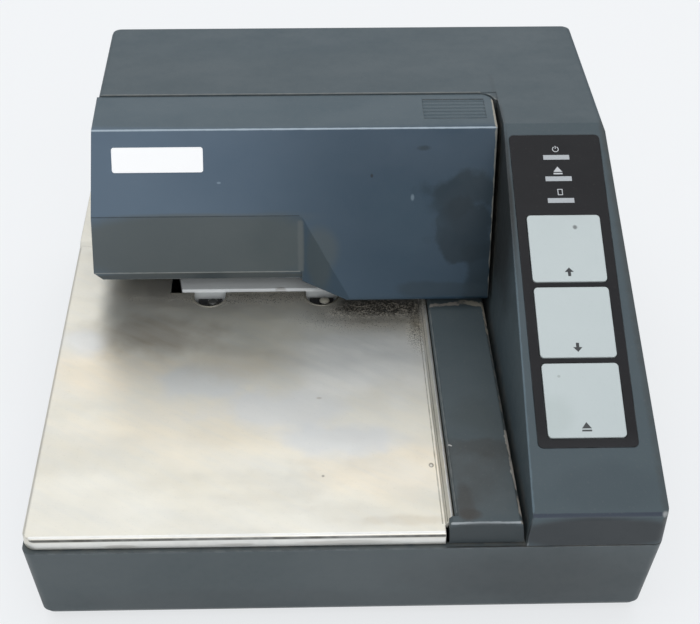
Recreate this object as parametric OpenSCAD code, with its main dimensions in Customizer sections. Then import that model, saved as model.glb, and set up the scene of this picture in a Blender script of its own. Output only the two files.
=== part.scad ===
// Flatbed slip printer: a dot matrix head on a carriage works downwards on a slip
// that lies on a steel table, under a head unit that overhangs the table.
// Every module is drawn in the case's own coordinates, in millimetres:
// x from the left side, y from the front, z from the underside of the lower case.

/* [Case] */
// Width over the lower case
case_w = 180; // [176:1:190]
// Depth over the lower case
case_d = 188; // [184:1:200]
// Height of the lower case, up to its seam
lower_h = 30.1; // [29.6:0.1:30.6]
// How far each side draws in towards the underside
side_taper = 2.1; // [0:0.1:4]
// How far the front draws in towards the underside
front_taper = 3; // [0:0.1:5]
// Wall of the moulded cases
wall = 2.4; // [1.8:0.1:2.6]
// Radius of the upright corners
corner_r = 2.8; // [2.4:0.1:4]
// Rounding along the edge of the underside
foot_edge = 2.2; // [1:0.1:2.4]
// Height of the rubber feet
foot_h = 2; // [1:0.5:5]
// Radius of the rubber feet
foot_r = 6.5; // [4:0.5:8]

/* [Upper case] */
// Top of the upper case
case_top = 96.6; // [94:0.1:102]
// How far the right side leans in at the top
right_draft = 4; // [1:0.5:6]
// How far the rear leans in at the top
rear_draft = 2.7; // [0:0.1:3]
// Left side of the head unit at the seam level
head_left_low = 9.2; // [8:0.1:10]
// Left side of the head unit at the top
head_left_high = 13.3; // [12:0.1:14]
// Underside of the head unit, over the slip slot
head_underside = 42; // [41.8:0.1:42.4]
// Depth of the head unit behind the cover's seam
head_depth = 50.2; // [50:0.1:51]
// Width of the control housing
housing_w = 38; // [37.6:0.1:38.2]
// Height of the control housing's front edge
panel_front_z = 41.5; // [40:0.5:44]
// Depth of the flat top behind the sloping panel
flat_depth = 70.2; // [69:0.2:72]
// Rounding of the housing's front edge
front_bend = 1.7; // [1:0.1:2]
// Rounding of the upper case's top edges
top_edge = 1.4; // [0.6:0.1:1.8]
// Bevel along the upper case's foot
foot_bevel = 0.5; // [0.2:0.1:0.8]

/* [Slip table] */
// Upper face of the slip table
table_top = 34.8; // [34.6:0.1:34.9]
// Thickness of the stainless sheet
sheet_t = 1; // [0.8:0.1:1.1]
// Printing window, from its front edge to the cover's seam
window_reach = 26.8; // [26.5:0.1:27]
// Left end of the printing window
window_x = 34.5; // [34:0.1:35]
// Radius of the two half-round notches
notch_r = 5.3; // [4.8:0.1:5.6]
// Distance from one notch to the other
notch_pitch = 38; // [37:0.1:38]
// Top of the moulded guide panel
guide_top = 38.7; // [38:0.1:40]
// Width of the moulded guide panel
guide_w = 19.7; // [19.4:0.1:19.8]

/* [Ribbon cover] */
// Depth of the cover's flat top
cover_top_depth = 18.6; // [17:0.1:20]
// How far the front edge of the cover's top lies under the top of the case
cover_fall = 2.1; // [1.8:0.1:3]
// Foot of the leaning front face, in front of the seam
cover_reach = 41.7; // [40:0.1:43]
// Recessed upright face at the left, in front of the seam
recess_reach = 30; // [29.5:0.1:31]
// Right end of the recessed face
recess_x = 79.4; // [70:0.1:84]
// Bottom of the recessed face, where its bevel starts
bevel_z = 46; // [45:0.1:47]
// Radius of the recess's inner corner
recess_round = 2.5; // [1:0.5:3]
// Thickness of the cover
cover_wall = 2.2; // [1.8:0.1:2.4]
// Gap behind the cover
cover_gap = 0.45; // [0.35:0.05:0.5]
// Radius of the cover's rear right corner
cover_corner = 4.5; // [3:0.5:5]
// Hinge rod of the cover: distance from the left side
hinge_x = 16.5; // [16.5:0.1:17]
// Hinge rod of the cover: height
hinge_z = 47; // [46.8:0.1:47.4]
// Radius of the hinge rod
hinge_r = 2; // [1.5:0.1:2]
// Ridges of the finger grip
ridges = 6; // [4:1:8]
// Width of the blank sticker
label_w = 29.2; // [20:0.1:40]
// Height of the blank sticker
label_h = 8.1; // [6:0.1:12]

/* [Controls] */
// Width of the dark panel sheet
sheet_w = 28.5; // [27:0.5:29]
// Length of the dark panel sheet
sheet_l = 104.8; // [104:0.2:106]
// Distance of the sheet from the shoulder
sheet_from_shoulder = 4.6; // [4:0.1:6]
// Width of a key
key_w = 22.4; // [18:0.1:23]
// Length of a key
key_l = 22.9; // [18:0.1:23]
// Distance from one key to the next
key_pitch = 24.8; // [24:0.1:25]
// Distance of the first key from the shoulder
key_from_shoulder = 34; // [33.5:0.1:34.5]
// Travel of a key
key_travel = 0.4; // [0.2:0.1:0.5]
// Width of an indicator window
led_w = 8.2; // [6:0.1:10]
// Length of an indicator window
led_l = 1.7; // [1:0.1:2.5]
// Distance from one indicator to the next
led_pitch = 7.85; // [7:0.05:8]
// Distance of the first indicator from the shoulder
led_from_shoulder = 12.9; // [10:0.1:13]

/* [Print mechanism] */
// Print line, in front of the cover's seam
print_reach = 12.5; // [12.3:0.1:12.7]
// Main guide shaft, behind the cover's seam
shaft_back = 10.2; // [10.2:0.1:10.8]
// Main guide shaft: height over the head unit's underside
shaft_rise = 20; // [20:0.1:20.4]
// Radius of the main guide shaft
shaft_r = 4; // [3:0.1:4.2]
// Radius of the rear guide rail
rail_r = 2.5; // [2:0.1:2.6]
// Middle of the carriage at rest
head_x = 50; // [48:1:56]
// Width of the print head
head_w = 16; // [12:0.5:16]
// Radius of the belt pulleys
pulley_r = 5.5; // [5:0.1:5.6]
// Depth of the ribbon cassette, front to back
cassette_t = 12.6; // [11:0.1:12.8]
// Radius of the ribbon knob
knob_r = 5; // [3.5:0.1:5.2]

/* [Slip feed] */
// Axis of the feed rollers, in front of the cover's seam
feed_reach = 4.5; // [4.3:0.1:4.6]
// Radius of the feed rollers
feed_r = 5; // [4.8:0.1:5]
// Radius of the feed shaft
feed_shaft_r = 3; // [2:0.1:3.2]
// Width of a feed roller
roller_w = 8; // [6:0.5:8.5]
// Radius of the pressure rollers
pinch_r = 3; // [2.5:0.1:3]
// Teeth of the gear on the feed shaft
gear_teeth = 36; // [36]
// Teeth of the motor's pinion
pinion_teeth = 12; // [12]
// Gear module
gear_module = 0.6667; // [0.6667]

/* [Hidden] */
$fn = 48;
slice = 0.02;
over = 1;
fit = 0.05;
body_gap = 0.3;

// Places along the depth, all held to the rear of the case
seam_y = case_d - head_depth;
shoulder_y = case_d - flat_depth;
table_rear = seam_y + 0.5;
window_y = seam_y - window_reach;
print_y = seam_y - print_reach;
feed_y = seam_y - feed_reach;
shaft_y = seam_y + shaft_back;

// Places across, held to the control housing
housing_x = case_w - housing_w;
housing_foot_x = housing_x - 0.8;
housing_top_x = housing_x + 2;
guide_right = housing_foot_x - body_gap;
guide_left = guide_right - guide_w;
table_right = guide_left - 2.6;
panel_mid_x = housing_x + 3.3 + sheet_w / 2;
slope_angle = atan2(case_top - panel_front_z, shoulder_y);
seam_gap = 0.5;
skirt_z = lower_h + seam_gap;

// Lower case
floor_t = wall;
screw_r = 1.5;
screw_head_r = 2 * screw_r;
screw_head_h = 1;
screw_sunk = 0.4;
screw_clear = 0.2;
post_r = 4;
small_post_r = 2.5;
screw_front = 15;
screw_places = [
  [14, screw_front], [case_w - 12, screw_front], [14, case_d - 14], [case_w - 10, case_d - 12]
];
table_post_places = [
  [12, 60], [60, 10], [table_right - 10.6, 14], [12, seam_y - 17.8], [20, seam_y + 12.2], [20, case_d - 12]
];
guide_post_places = [for (y = [14, 60, case_d - 26]) [(guide_left + guide_right) / 2, y]];
foot_from_side = 22;
foot_from_front = 24;
foot_round = 0.6;

// Main board and rear sockets, counted from the right side
board_x = [case_w - 144, case_w - 62];
board_y = [30, case_d - 5];
board_z = 6;
board_t = 1.6;
board_hole_in = 4;
board_top = board_z + board_t;
chip_h = 2.2;
chips = [
  [14, 15, 24, 10], [46, 15, 14, 14], [14, 38, 12, 24], [38, 42, 20, 8], [24, 116, 30, 10]
];
can_r = 4;
can_h = 9;
cans = [[68, 10], [68, 24], [68, 38], [62, 56]];
rear_cut = 8;
interface_x = [case_w - 138, case_w - 84.5];
interface_h = 12.5;
drawer_x = [case_w - 80, case_w - 67.5];
drawer_h = 11.5;
inlet_at = [case_w - 52, 15];
inlet_r = 6.6;
inlet_block = 8;
pin_r = 0.7;
pin_circle = 2.6;
socket_depth = 12;
switch_x = [case_w - 29, case_w - 14];
switch_z = [8.5, 21.5];
rocker_axle_r = 1;
rocker_pivot = [case_d - 6, (switch_z[0] + switch_z[1]) / 2];
rocker_tilt = 8;

// Slip table
table_left = 0.2;
table_front = 1.2;
table_corner = 4;
bend = 1.2;
flange_h = 2.3;
flange_lean = 1.5;
flange_start = 3.2;
flange_cut = 40;
roller_gap = 1.3;
slot_behind = 3.7;
notch_back = 2;
notch_x = [window_x + 13.5, window_x + 13.5 + notch_pitch];
window_right = housing_x - 29;
nose_depth = 2.8;
nose_out = 1.8;
guide_edge = 0.9;
guide_lean = 1.1;
guide_wall = 2;

// Control panel
sheet_depth = 0.3;
sheet_thick = 0.4;
sheet_round = 1.5;
seat_gap = 0.1;
key_t = 1.1;
key_round = 1.2;
key_stem_r = 2.5;
key_proud = 0.35;
key_gap = 0.3;
stem_gap = 0.4;
stem_end = 2.3;
lamp_r = 1.3;
lamp_hole_r = 1.5;
board_drop = 6;
key_board_t = 1.2;
stud_out = 2.2;
stud_hole = 1.2;
stud_x = 9;
stud_y = [-12, -sheet_l + 4];
switch_w = 6;
switch_h = 1.6;

// Ribbon cover
cover_top_y = seam_y - cover_top_depth;
cover_top_z = case_top - cover_fall;
cover_foot_y = seam_y - cover_reach;
recess_y = seam_y - recess_reach;
cover_left = head_left_low + 0.7;
cover_right_low = housing_foot_x - 0.5;
cover_right_high = housing_top_x - 1.4;
cover_rear = seam_y - cover_gap;
corner_at = [cover_right_high - cover_corner, cover_rear - cover_corner];
cover_foot_z = head_underside - 0.2;
cover_crown = 0.2;
bevel_run = 1.7;
facet_run = 0.72;
edge_round = 1.1;
foot_corner = 1.2;
lean = (cover_top_y - cover_foot_y) / (cover_top_z - head_underside);
top_run = 8;
top_slope = atan2(case_top + cover_crown - cover_top_z, cover_rear + top_run - cover_top_y);
lug_r = hinge_r + 1.6;
lug_t = 3;
ear_r = hinge_r + 1.3;
hinge_y = [recess_y + cover_wall + 1.7, cover_rear - 1];
grip_x = [housing_x - 22.7, housing_x - 2.5];
grip_y = [cover_top_y + 4.8, seam_y - 3];
grip_depth = 0.3;
ridge_r = 0.4;
label_x = 18.8;
label_down = 5.6;
label_t = 0.25;
label_round = 0.8;

// Mechanism frame
frame_t = 1.6;
left_cheek = 22;
right_cheek = housing_x - 8;
column_x = housing_x + 4;
deck_z = head_underside + 30;
cheek_front = print_y - cassette_t / 2 - 4;
cheek_foot = head_underside + 4.2;
frame_rear = case_d - 8;
foot_plate_z = 5;
foot_plate_x = [column_x, column_x + 11];
foot_plate_y = [seam_y + 8, frame_rear];
pivot_at = [seam_y + 14.2, head_underside + 6.8];
pivot_r = 2;
rail_at = [seam_y + 35.7, head_underside + 14.5];
shaft_z = head_underside + shaft_rise;
shaft_end = 1.5;
shelf_drop = 6;

// Carriage, print head and belt
sleeve_r = shaft_r + 3;
sleeve_half = 12;
head_y = [print_y - 9.5, print_y + 9.2];
head_z = [head_underside + 6, head_underside + 22];
nose_z = table_top + 2.6;
nose_half = [5, 1.6];
nose_deep = [3.6, 2.4];
fins = 5;
fin_gap = 1.1;
fin_cut = 1.6;
belt_y = seam_y + 27.2;
belt_z = [shaft_z, shaft_z + 5];
belt_t = 1;
belt_reach = pulley_r + 0.3;
belt_run_y = belt_y - belt_reach - belt_t;
belt_clear = 0.4;
idler_x = left_cheek + 9;
drive_x = right_cheek - 11;
flange_r = pulley_r + 0.9;
pulley_flange_t = 1;
motor_boss_r = 5;
stud_r = 1.5;
carriage_motor_r = 17.2;
carriage_motor_top = case_top - 5.5;

// Ribbon cassette
cassette_x = [left_cheek + 3, right_cheek - 3];
cassette_y = [print_y - cassette_t / 2, print_y + cassette_t / 2];
cassette_z = [deck_z - 6, case_top - 10.6];
cassette_h = cassette_z[1] - cassette_z[0];
arm_foot = table_top + 0.7;
arm_w = 8;
spool_x = [cassette_x[0] + 23, cassette_x[0] + 55];
spool_rim_r = cassette_h * 0.425;
rim_t = 1;
knob_at = [cassette_x[1] - 28, cassette_z[0] + cassette_h * 0.4];
knob_bore = 2.5;
knob_grips = 12;
ribbon_w = 10;
ribbon_t = 0.25;

// Slip feed
feed_z = table_top + 0.15 - feed_r;
frame_x = [window_x - 4.5, housing_x - 12];
platen_frame_y = [window_y + 2, feed_y + 4.3];
platen_frame_z = 10;
platen_x = [window_x + 1.5, window_right - 1.5];
platen_y = [window_y + 1.4, feed_y - feed_r - 0.5];
platen_sunk = 0.2;
platen_h = 5.6;
platen_skew = 2.4;
platen_foot_w = 4;
sensor_shelf_z = table_top - 10.8;
sensor_half = 4;
lens_r = 1.9;
gear_x = [housing_x + 9, housing_x + 13.4];
gear_r = gear_teeth * gear_module / 2;
pinion_r = pinion_teeth * gear_module / 2;
mesh_angle = -16;
pinion_at = [feed_y + (gear_r + pinion_r) * cos(mesh_angle), feed_z + (gear_r + pinion_r) * sin(mesh_angle)];
feed_motor_x = [housing_x + 16.4, case_w - 5];
feed_motor_r = 17.5;
motor_shaft_r = 1.5;
pinch_at = [feed_y - 1.5, head_underside + 1.5];
pinch_shaft_r = 1.2;
arm_x = [notch_x[0] - 8, notch_x[1] + 7];
arm_t = 2;
lever_x = right_cheek - 10;
lever_h = 8;
lever_w = 3;
solenoid_x = [right_cheek - 16, right_cheek - 3];
solenoid_y = [seam_y + 19, seam_y + 31.2];
solenoid_z = [head_underside + 8.5, head_underside + 16.5];
plunger_at = [lever_x + lever_w / 2, head_underside + 12.5];
plunger_r = 2;

module placed() { translate([-case_w / 2, -case_d / 2, foot_h]) children(); }

// Box from one corner to the opposite one
module box(from, to) { translate(from) cube(to - from); }

// Profile drawn in y and z, extruded along x
module along_x(x0, x1) { translate([x0, 0, 0]) rotate([90, 0, 90]) linear_extrude(x1 - x0) children(); }

// Profile drawn in x and z, extruded along y
module along_y(y0, y1) { translate([0, y1, 0]) rotate([90, 0, 0]) linear_extrude(y1 - y0) children(); }

// Round bar along x through a place seen from the side
module bar_x(x0, x1, at, r) {
  translate([x0, at[0], at[1]]) rotate([0, 90, 0]) cylinder(r = r, h = x1 - x0);
}

// Round bar along y through a place seen from the front
module bar_y(y0, y1, at, r) {
  translate([at[0], y0, at[1]]) rotate([-90, 0, 0]) cylinder(r = r, h = y1 - y0);
}

// Round bar along z through a place seen from above
module bar_z(z0, z1, at, r) {
  translate([at[0], at[1], z0]) cylinder(r = r, h = z1 - z0);
}

// Plain rectangle with true round corners, centred
module rounded_rect(w, l, r) {
  square([w - 2 * r, l], center = true);
  square([w, l - 2 * r], center = true);
  for (sx = [-1, 1], sy = [-1, 1]) translate([sx * (w / 2 - r), sy * (l / 2 - r)]) circle(r);
}

// Block whose plan changes from level to level: [x0, x1, y0, y1, z] each
module drafted_block(levels, r) {
  hull() for (level = levels, x = [level[0] + r, level[1] - r], y = [level[2] + r, level[3] - r])
    translate([x, y, level[4]]) cylinder(r = r, h = slice, $fn = 32);
}

// Anything on the sloping panel: origin at the shoulder, -y down the slope, z out of it
module on_panel() { translate([panel_mid_x, shoulder_y, case_top]) rotate([slope_angle, 0, 0]) children(); }

// ---- Lower case, feet and screws ----

// Plan of the lower case at a height, set in all round
function lower_plan(z, inset) = let (t = 1 - z / lower_h) [
  side_taper * t + inset, case_w - side_taper * t - inset,
  front_taper * t + inset, case_d - side_taper * t - inset, z];

module lower_case() {
  color("#4e565c") placed() difference() {
    union() {
      difference() {
        drafted_block([
          lower_plan(0, foot_edge), lower_plan(0.29 * foot_edge, 0.29 * foot_edge),
          lower_plan(foot_edge, 0), lower_plan(lower_h - slice, 0)], corner_r);
        drafted_block([lower_plan(floor_t, wall), lower_plan(lower_h + over, wall)], corner_r - wall / 2);
      }
      for (at = table_post_places) bar_z(floor_t - slice, table_top - sheet_t, at, post_r);
      for (at = guide_post_places) bar_z(floor_t - slice, guide_top - guide_wall, at, post_r);
      for (at = screw_places) bar_z(floor_t - slice, lower_h, at, post_r);
      for (at = board_posts) bar_z(floor_t - slice, board_z, at, small_post_r);
      for (x = [frame_x[0] + 3, frame_x[1] - 3], y = [platen_frame_y[0] + 3, platen_frame_y[1] - 3])
        bar_z(floor_t - slice, platen_frame_z, [x, y], small_post_r);
      box([foot_plate_x[0], foot_plate_y[0], floor_t - slice],
        [foot_plate_x[1], foot_plate_y[1], foot_plate_z]);
      motor_saddle();
    }
    for (at = screw_places) {
      bar_z(-over, lower_h + over, at, screw_r + screw_clear);
      bar_z(-over, screw_sunk + screw_head_h, at, screw_head_r + screw_clear);
    }
    rear_openings();
  }
}

board_posts = [for (x = [board_x[0] + board_hole_in, board_x[1] - board_hole_in],
  y = [board_y[0] + 10, board_y[1] - 30]) [x, y]];

// Saddle that carries the feed motor
module motor_saddle() {
  saddle_x = feed_motor_x[0] + 4;
  saddle_half = 12;
  difference() {
    box([saddle_x, pinion_at[0] - saddle_half, floor_t - slice],
      [saddle_x + 3, pinion_at[0] + saddle_half, pinion_at[1] - 8]);
    bar_x(feed_motor_x[0], feed_motor_x[1], pinion_at, feed_motor_r);
  }
}

// Openings in the rear wall for the sockets and the switch
module rear_openings() {
  y0 = case_d - rear_cut;
  y1 = case_d + over;
  lip = 0.6;
  box([interface_x[0] + 4, y0, board_top + lip], [interface_x[1] - 4, y1, board_top + interface_h - lip]);
  box([drawer_x[0], y0, board_top], [drawer_x[1], y1, board_top + drawer_h]);
  bar_y(y0, y1, inlet_at, inlet_r);
  box([switch_x[0], y0, switch_z[0]], [switch_x[1], y1, switch_z[1]]);
}

module rubber_feet() {
  color("#202224") placed()
    for (x = [foot_from_side, case_w - foot_from_side], y = [foot_from_front, case_d - foot_from_front])
      translate([x, y, -foot_h]) cylinder(r1 = foot_r - foot_round, r2 = foot_r, h = foot_h);
}

module case_screws() {
  color("#9a9da0") placed() for (at = screw_places) {
    bar_z(screw_sunk, screw_sunk + screw_head_h, at, screw_head_r);
    bar_z(screw_sunk + screw_head_h, lower_h - 4, at, screw_r);
  }
}

// ---- Slip table ----

// Outline of a sheet folded down over a round bend at its near edge
function folded(near, far, low, top, r) = concat([[near, low], [far, low], [far, top]],
  [for (a = [90:15:180]) [near + r + r * cos(a), top - r + r * sin(a)]]);

module table_block(inset, top) {
  x0 = table_left + inset;
  y0 = table_front + inset;
  r = bend - inset / 2;
  corner = table_corner - inset;
  intersection() {
    along_y(y0, table_rear) polygon(folded(x0, table_right, skirt_z, top, r));
    along_x(x0, table_right) polygon(folded(y0, table_rear, skirt_z, top, r));
    translate([0, 0, skirt_z - over]) linear_extrude(20) {
      translate([x0 + corner, y0 + corner]) circle(corner);
      translate([x0 + corner, y0]) square([table_right - x0, table_rear - y0]);
      translate([x0, y0 + corner]) square([table_right - x0, table_rear - y0]);
    }
  }
}

// Leaning flange that guides the slip's right edge
module guide_flange(y0, y1) {
  along_y(y0, y1) polygon([
    [table_right - 0.6, table_top - 0.4], [table_right, table_top],
    [table_right + flange_lean, table_top + flange_h],
    [table_right + flange_lean + 0.8, table_top + flange_h - 0.3],
    [table_right + 0.6, table_top - sheet_t]]);
}

module slip_table() {
  flange_y = table_front + flange_start;
  color("#c9c6bb") placed() {
    difference() {
      table_block(0, table_top);
      translate([0, 0, -slice]) table_block(sheet_t, table_top - sheet_t + slice);
      box([table_left + table_corner, table_front + table_corner, skirt_z - over],
        [table_right + over, table_rear + over, table_top - sheet_t]);
      window_cut();
    }
    difference() {
      guide_flange(flange_y, table_rear);
      translate([table_right - 5, flange_y, table_top]) rotate([flange_cut, 0, 0]) translate([0, -10, 0])
        cube([15, 10, 10]);
    }
  }
}

// Printing window with two half-round notches in front and two roller slots behind
module window_cut() {
  z0 = table_top - 3;
  z1 = table_top + over;
  slot_half = roller_w / 2 + roller_gap;
  box([window_x, window_y, z0], [window_right, platen_y[1] + 0.4, z1]);
  for (x = notch_x) {
    bar_z(z0, z1, [x, window_y - notch_back], notch_r);
    box([x - notch_r, window_y - notch_back, z0], [x + notch_r, window_y + over, z1]);
    box([x - slot_half, window_y, z0], [x + slot_half, feed_y + slot_behind, z1]);
  }
}

module rear_slip_plate() {
  y0 = table_rear + 0.6;
  y1 = case_d - 1.2;
  lip_run = 2.6;
  lip_drop = 1.6;
  color("#c4c1b6") placed() {
    along_x(table_left, table_right) polygon([
      [y0, table_top - lip_drop - 0.6], [y0, table_top - lip_drop], [y0 + lip_run, table_top],
      [y1 - bend, table_top], [y1, table_top - bend], [y1, skirt_z], [y1 - sheet_t, skirt_z],
      [y1 - sheet_t, table_top - sheet_t], [y0 + lip_run + 0.4, table_top - sheet_t],
      [y0 + sheet_t, table_top - lip_drop - 0.6]]);
    box([table_left, y0 + 3, skirt_z], [table_left + sheet_t, y1, table_top - bend]);
    guide_flange(y0 + 3, y1);
  }
}

// ---- Moulded guide panel beside the table ----
module slip_guide_panel() {
  y0 = table_front + 0.2;
  y1 = case_d - 1.2;
  top_x = guide_right - guide_lean;
  nose_x = guide_left - nose_out;
  edge = guide_edge;
  color("#56606a") placed() difference() {
    intersection() {
      union() {
        along_y(y0, y1) polygon([[guide_left, skirt_z], [guide_right, skirt_z], [top_x, guide_top - edge],
          [top_x - edge, guide_top], [guide_left + edge, guide_top], [guide_left, guide_top - edge]]);
        // Front nose that covers the end of the table's flange
        along_y(y0, y0 + nose_depth) polygon([[nose_x + 0.3, skirt_z], [guide_left + 3, skirt_z],
          [guide_left + 3, guide_top], [nose_x + edge, guide_top], [nose_x, guide_top - edge]]);
      }
      along_x(nose_x, guide_right) polygon([[y0, skirt_z], [y1, skirt_z], [y1, guide_top - edge],
        [y1 - edge, guide_top], [y0 + edge, guide_top], [y0, guide_top - edge]]);
    }
    box([guide_left + guide_wall, y0 + nose_depth, skirt_z - over],
      [guide_right - guide_wall - guide_lean, y1 - guide_wall, guide_top - guide_wall]);
    shaft_pass();
  }
}

// Room for the feed shaft where it crosses a wall
module shaft_pass() {
  x0 = guide_left - 5;
  x1 = housing_x + 6;
  r = feed_shaft_r + 1;
  bar_x(x0, x1, [feed_y, feed_z], r);
  box([x0, feed_y - r, 20], [x1, feed_y + r, feed_z]);
}

// ---- Upper case: control housing and rear of the head unit ----

// Side outline of the control housing, set in by a wall
module housing_side(inset) {
  r = front_bend;
  mid = [r, panel_front_z + r * tan(slope_angle) - r / cos(slope_angle)];
  if (inset == 0) {
    polygon([[0, lower_h], [case_d, lower_h], [case_d, case_top], [shoulder_y, case_top],
      mid + r * [-sin(slope_angle), cos(slope_angle)], [0, mid[1]]]);
    translate(mid) circle(r);
  } else {
    offset(delta = -inset) polygon([[0, lower_h - inset * 2], [case_d, lower_h - inset * 2],
      [case_d, case_top], [shoulder_y, case_top], [0, panel_front_z]]);
  }
}

// Front outline of the control housing
module housing_front(inset) {
  polygon([[housing_foot_x + inset, lower_h - over], [case_w, lower_h - over], [case_w, case_top + over],
    [housing_top_x + inset, case_top + over], [housing_x + inset, panel_front_z],
    [housing_foot_x + inset, lower_h]]);
}

// Plan of the upper case at a height: upright up to the housing's front edge, then leaning in
function upper_plan(z, inset) = let (t = (z - panel_front_z) / (case_top - panel_front_z), u = max(t, 0)) [
  head_left_low + (head_left_high - head_left_low) * (z - lower_h) / (case_top - lower_h) + inset,
  case_w - right_draft * u - inset, inset, case_d - rear_draft * u - inset, z];

module upper_shell(inset) {
  levels = inset > 0
    ? [upper_plan(lower_h - over, inset), upper_plan(panel_front_z, inset),
      upper_plan(case_top - inset, inset)]
    : [upper_plan(lower_h, foot_bevel), upper_plan(lower_h + foot_bevel, 0), upper_plan(panel_front_z, 0),
      upper_plan(case_top - top_edge, 0), upper_plan(case_top - 0.29 * top_edge, 0.29 * top_edge),
      upper_plan(case_top - slice, top_edge)];
  drafted_block(levels, corner_r - inset / 2);
}

module upper_body(inset) {
  intersection() {
    upper_shell(inset);
    union() {
      intersection() {
        along_x(housing_foot_x, case_w) housing_side(inset);
        along_y(0, case_d) housing_front(inset);
      }
      box([0, seam_y + (inset > 0 ? -over : 0), head_underside + inset], [housing_x + 8, case_d, case_top]);
    }
  }
}

// Web that follows the cover's round rear corner
module corner_web() {
  web_h = 12;
  bite = 0.5;
  z1 = case_top - 0.2;
  difference() {
    box([corner_at[0] + bite, corner_at[1] + bite, z1 - web_h], [housing_top_x + bite, seam_y + bite, z1]);
    bar_z(0, case_top + over, corner_at, cover_corner + cover_gap);
  }
}

module upper_case() {
  passage_x = housing_x + 8;
  color("#5d6872") placed() difference() {
    union() {
      difference() {
        upper_body(0);
        upper_body(wall);
        // The head unit's mechanism reaches down and to the right through these
        box([left_cheek - 2, seam_y - over, head_underside - over],
          [column_x + 2, seam_y + 20, head_underside + wall + over]);
        box([housing_x - over, seam_y - over, head_underside + wall],
          [passage_x, frame_rear, case_top - wall - 1]);
      }
      corner_web();
    }
    box([0, 0, 0], [case_w, case_d, lower_h]);
    shaft_pass();
    panel_seats();
  }
}

// Seat of the panel sheet, key windows and indicator windows
module panel_seats() {
  on_panel() {
    translate([0, -sheet_from_shoulder - sheet_l / 2, -sheet_depth]) linear_extrude(5)
      rounded_rect(sheet_w + 2 * seat_gap, sheet_l + 2 * seat_gap, sheet_round + seat_gap);
    for (i = [0:2]) {
      translate([0, key_mid(i), -wall - over]) cylinder(r = key_stem_r + stem_gap, h = wall + 2);
      translate([0, led_mid(i), -wall - over]) cylinder(r = lamp_hole_r, h = wall + 2);
      translate([0, key_mid(i), -key_t - key_travel]) linear_extrude(5) key_window();
    }
  }
}

module key_window() { rounded_rect(key_w + 2 * key_gap, key_l + 2 * key_gap, key_round + key_gap); }

// ---- Control panel ----
function key_mid(i) = -key_from_shoulder - key_l / 2 - i * key_pitch;
function led_mid(i) = -led_from_shoulder - i * led_pitch;

module control_panel_sheet() {
  color("#2c2d30") placed() on_panel() difference() {
    translate([0, -sheet_from_shoulder - sheet_l / 2, -sheet_depth]) linear_extrude(sheet_thick)
      rounded_rect(sheet_w, sheet_l, sheet_round);
    for (i = [0:2]) {
      translate([0, key_mid(i), -over]) linear_extrude(3) key_window();
      translate([-led_w / 2, led_mid(i) - led_l / 2, -over]) cube([led_w, led_l, 3]);
    }
  }
}

module indicator_windows() {
  color("#9aa0a0") placed() on_panel() for (i = [0:2])
    translate([-led_w / 2, led_mid(i) - led_l / 2, -sheet_depth]) cube([led_w, led_l, sheet_thick]);
}

module key_cap(i) {
  stem_h = board_drop - stem_end - key_t + key_proud + 0.1;
  color("#c3cdce") placed() on_panel() translate([0, key_mid(i), 0]) {
    translate([0, 0, key_proud - key_t]) linear_extrude(key_t) rounded_rect(key_w, key_l, key_round);
    translate([0, 0, -board_drop + stem_end]) cylinder(r = key_stem_r, h = stem_h);
  }
}

module forward_key() { key_cap(0); }
module reverse_key() { key_cap(1); }
module release_key() { key_cap(2); }

// Switch board under the keys, on posts from the sloping wall
module key_board() {
  color("#3f6b4a") placed() on_panel() {
    difference() {
      translate([-sheet_w / 2 + 1, -sheet_l, -board_drop - key_board_t])
        cube([sheet_w - 2, sheet_l - 6, key_board_t]);
      for (y = stud_y, x = [-stud_x, stud_x])
        translate([x, y, -board_drop - 2]) cylinder(r = stud_hole, h = 4);
    }
    for (i = [0:2]) {
      translate([-switch_w / 2, key_mid(i) - switch_w / 2, -board_drop])
        cube([switch_w, switch_w, switch_h]);
      translate([0, led_mid(i), -board_drop]) cylinder(r = lamp_r, h = board_drop - wall + 1);
    }
    for (y = stud_y, x = [-stud_x, stud_x]) translate([x, y, -board_drop - key_board_t]) difference() {
      cylinder(r = stud_out, h = board_drop + key_board_t - wall);
      translate([0, 0, -over]) cylinder(r = stud_hole, h = 4);
    }
  }
}

// ---- Ribbon cover: one moulded shell with a stepped front ----

// Side outline: flat top, leaning front
module cover_side(inset) {
  if (inset == 0) {
    offset(r = edge_round, $fn = 24) offset(delta = -edge_round) cover_side_lines();
  } else {
    offset(delta = -inset) cover_side_lines();
  }
}

module cover_side_lines() {
  polygon([[cover_foot_y, cover_foot_z], [cover_top_y, cover_top_z],
    [cover_rear + top_run, case_top + cover_crown], [cover_rear + top_run, cover_foot_z]]);
}

// Front outline: left side drafted with a bevelled foot, right side beside the housing
module cover_front(inset) {
  offset(delta = -inset) polygon([[cover_left + 2.6, cover_foot_z + 0.4], [cover_left, bevel_z],
    [cover_left + 3, case_top + over], [cover_right_high, case_top + over],
    [cover_right_low, cover_foot_z + foot_corner],
    [cover_right_low - foot_corner * 0.3, cover_foot_z + foot_corner * 0.3],
    [cover_right_low - foot_corner, cover_foot_z]]);
}

// Plan with the round corner at the rear right
module cover_plan(inset) {
  behind = inset > 0 ? over : 0;
  square([corner_at[0] + behind / 2, cover_rear + behind]);
  square([cover_right_high - inset, corner_at[1]]);
  translate(corner_at) circle(cover_corner - inset);
}

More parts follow.
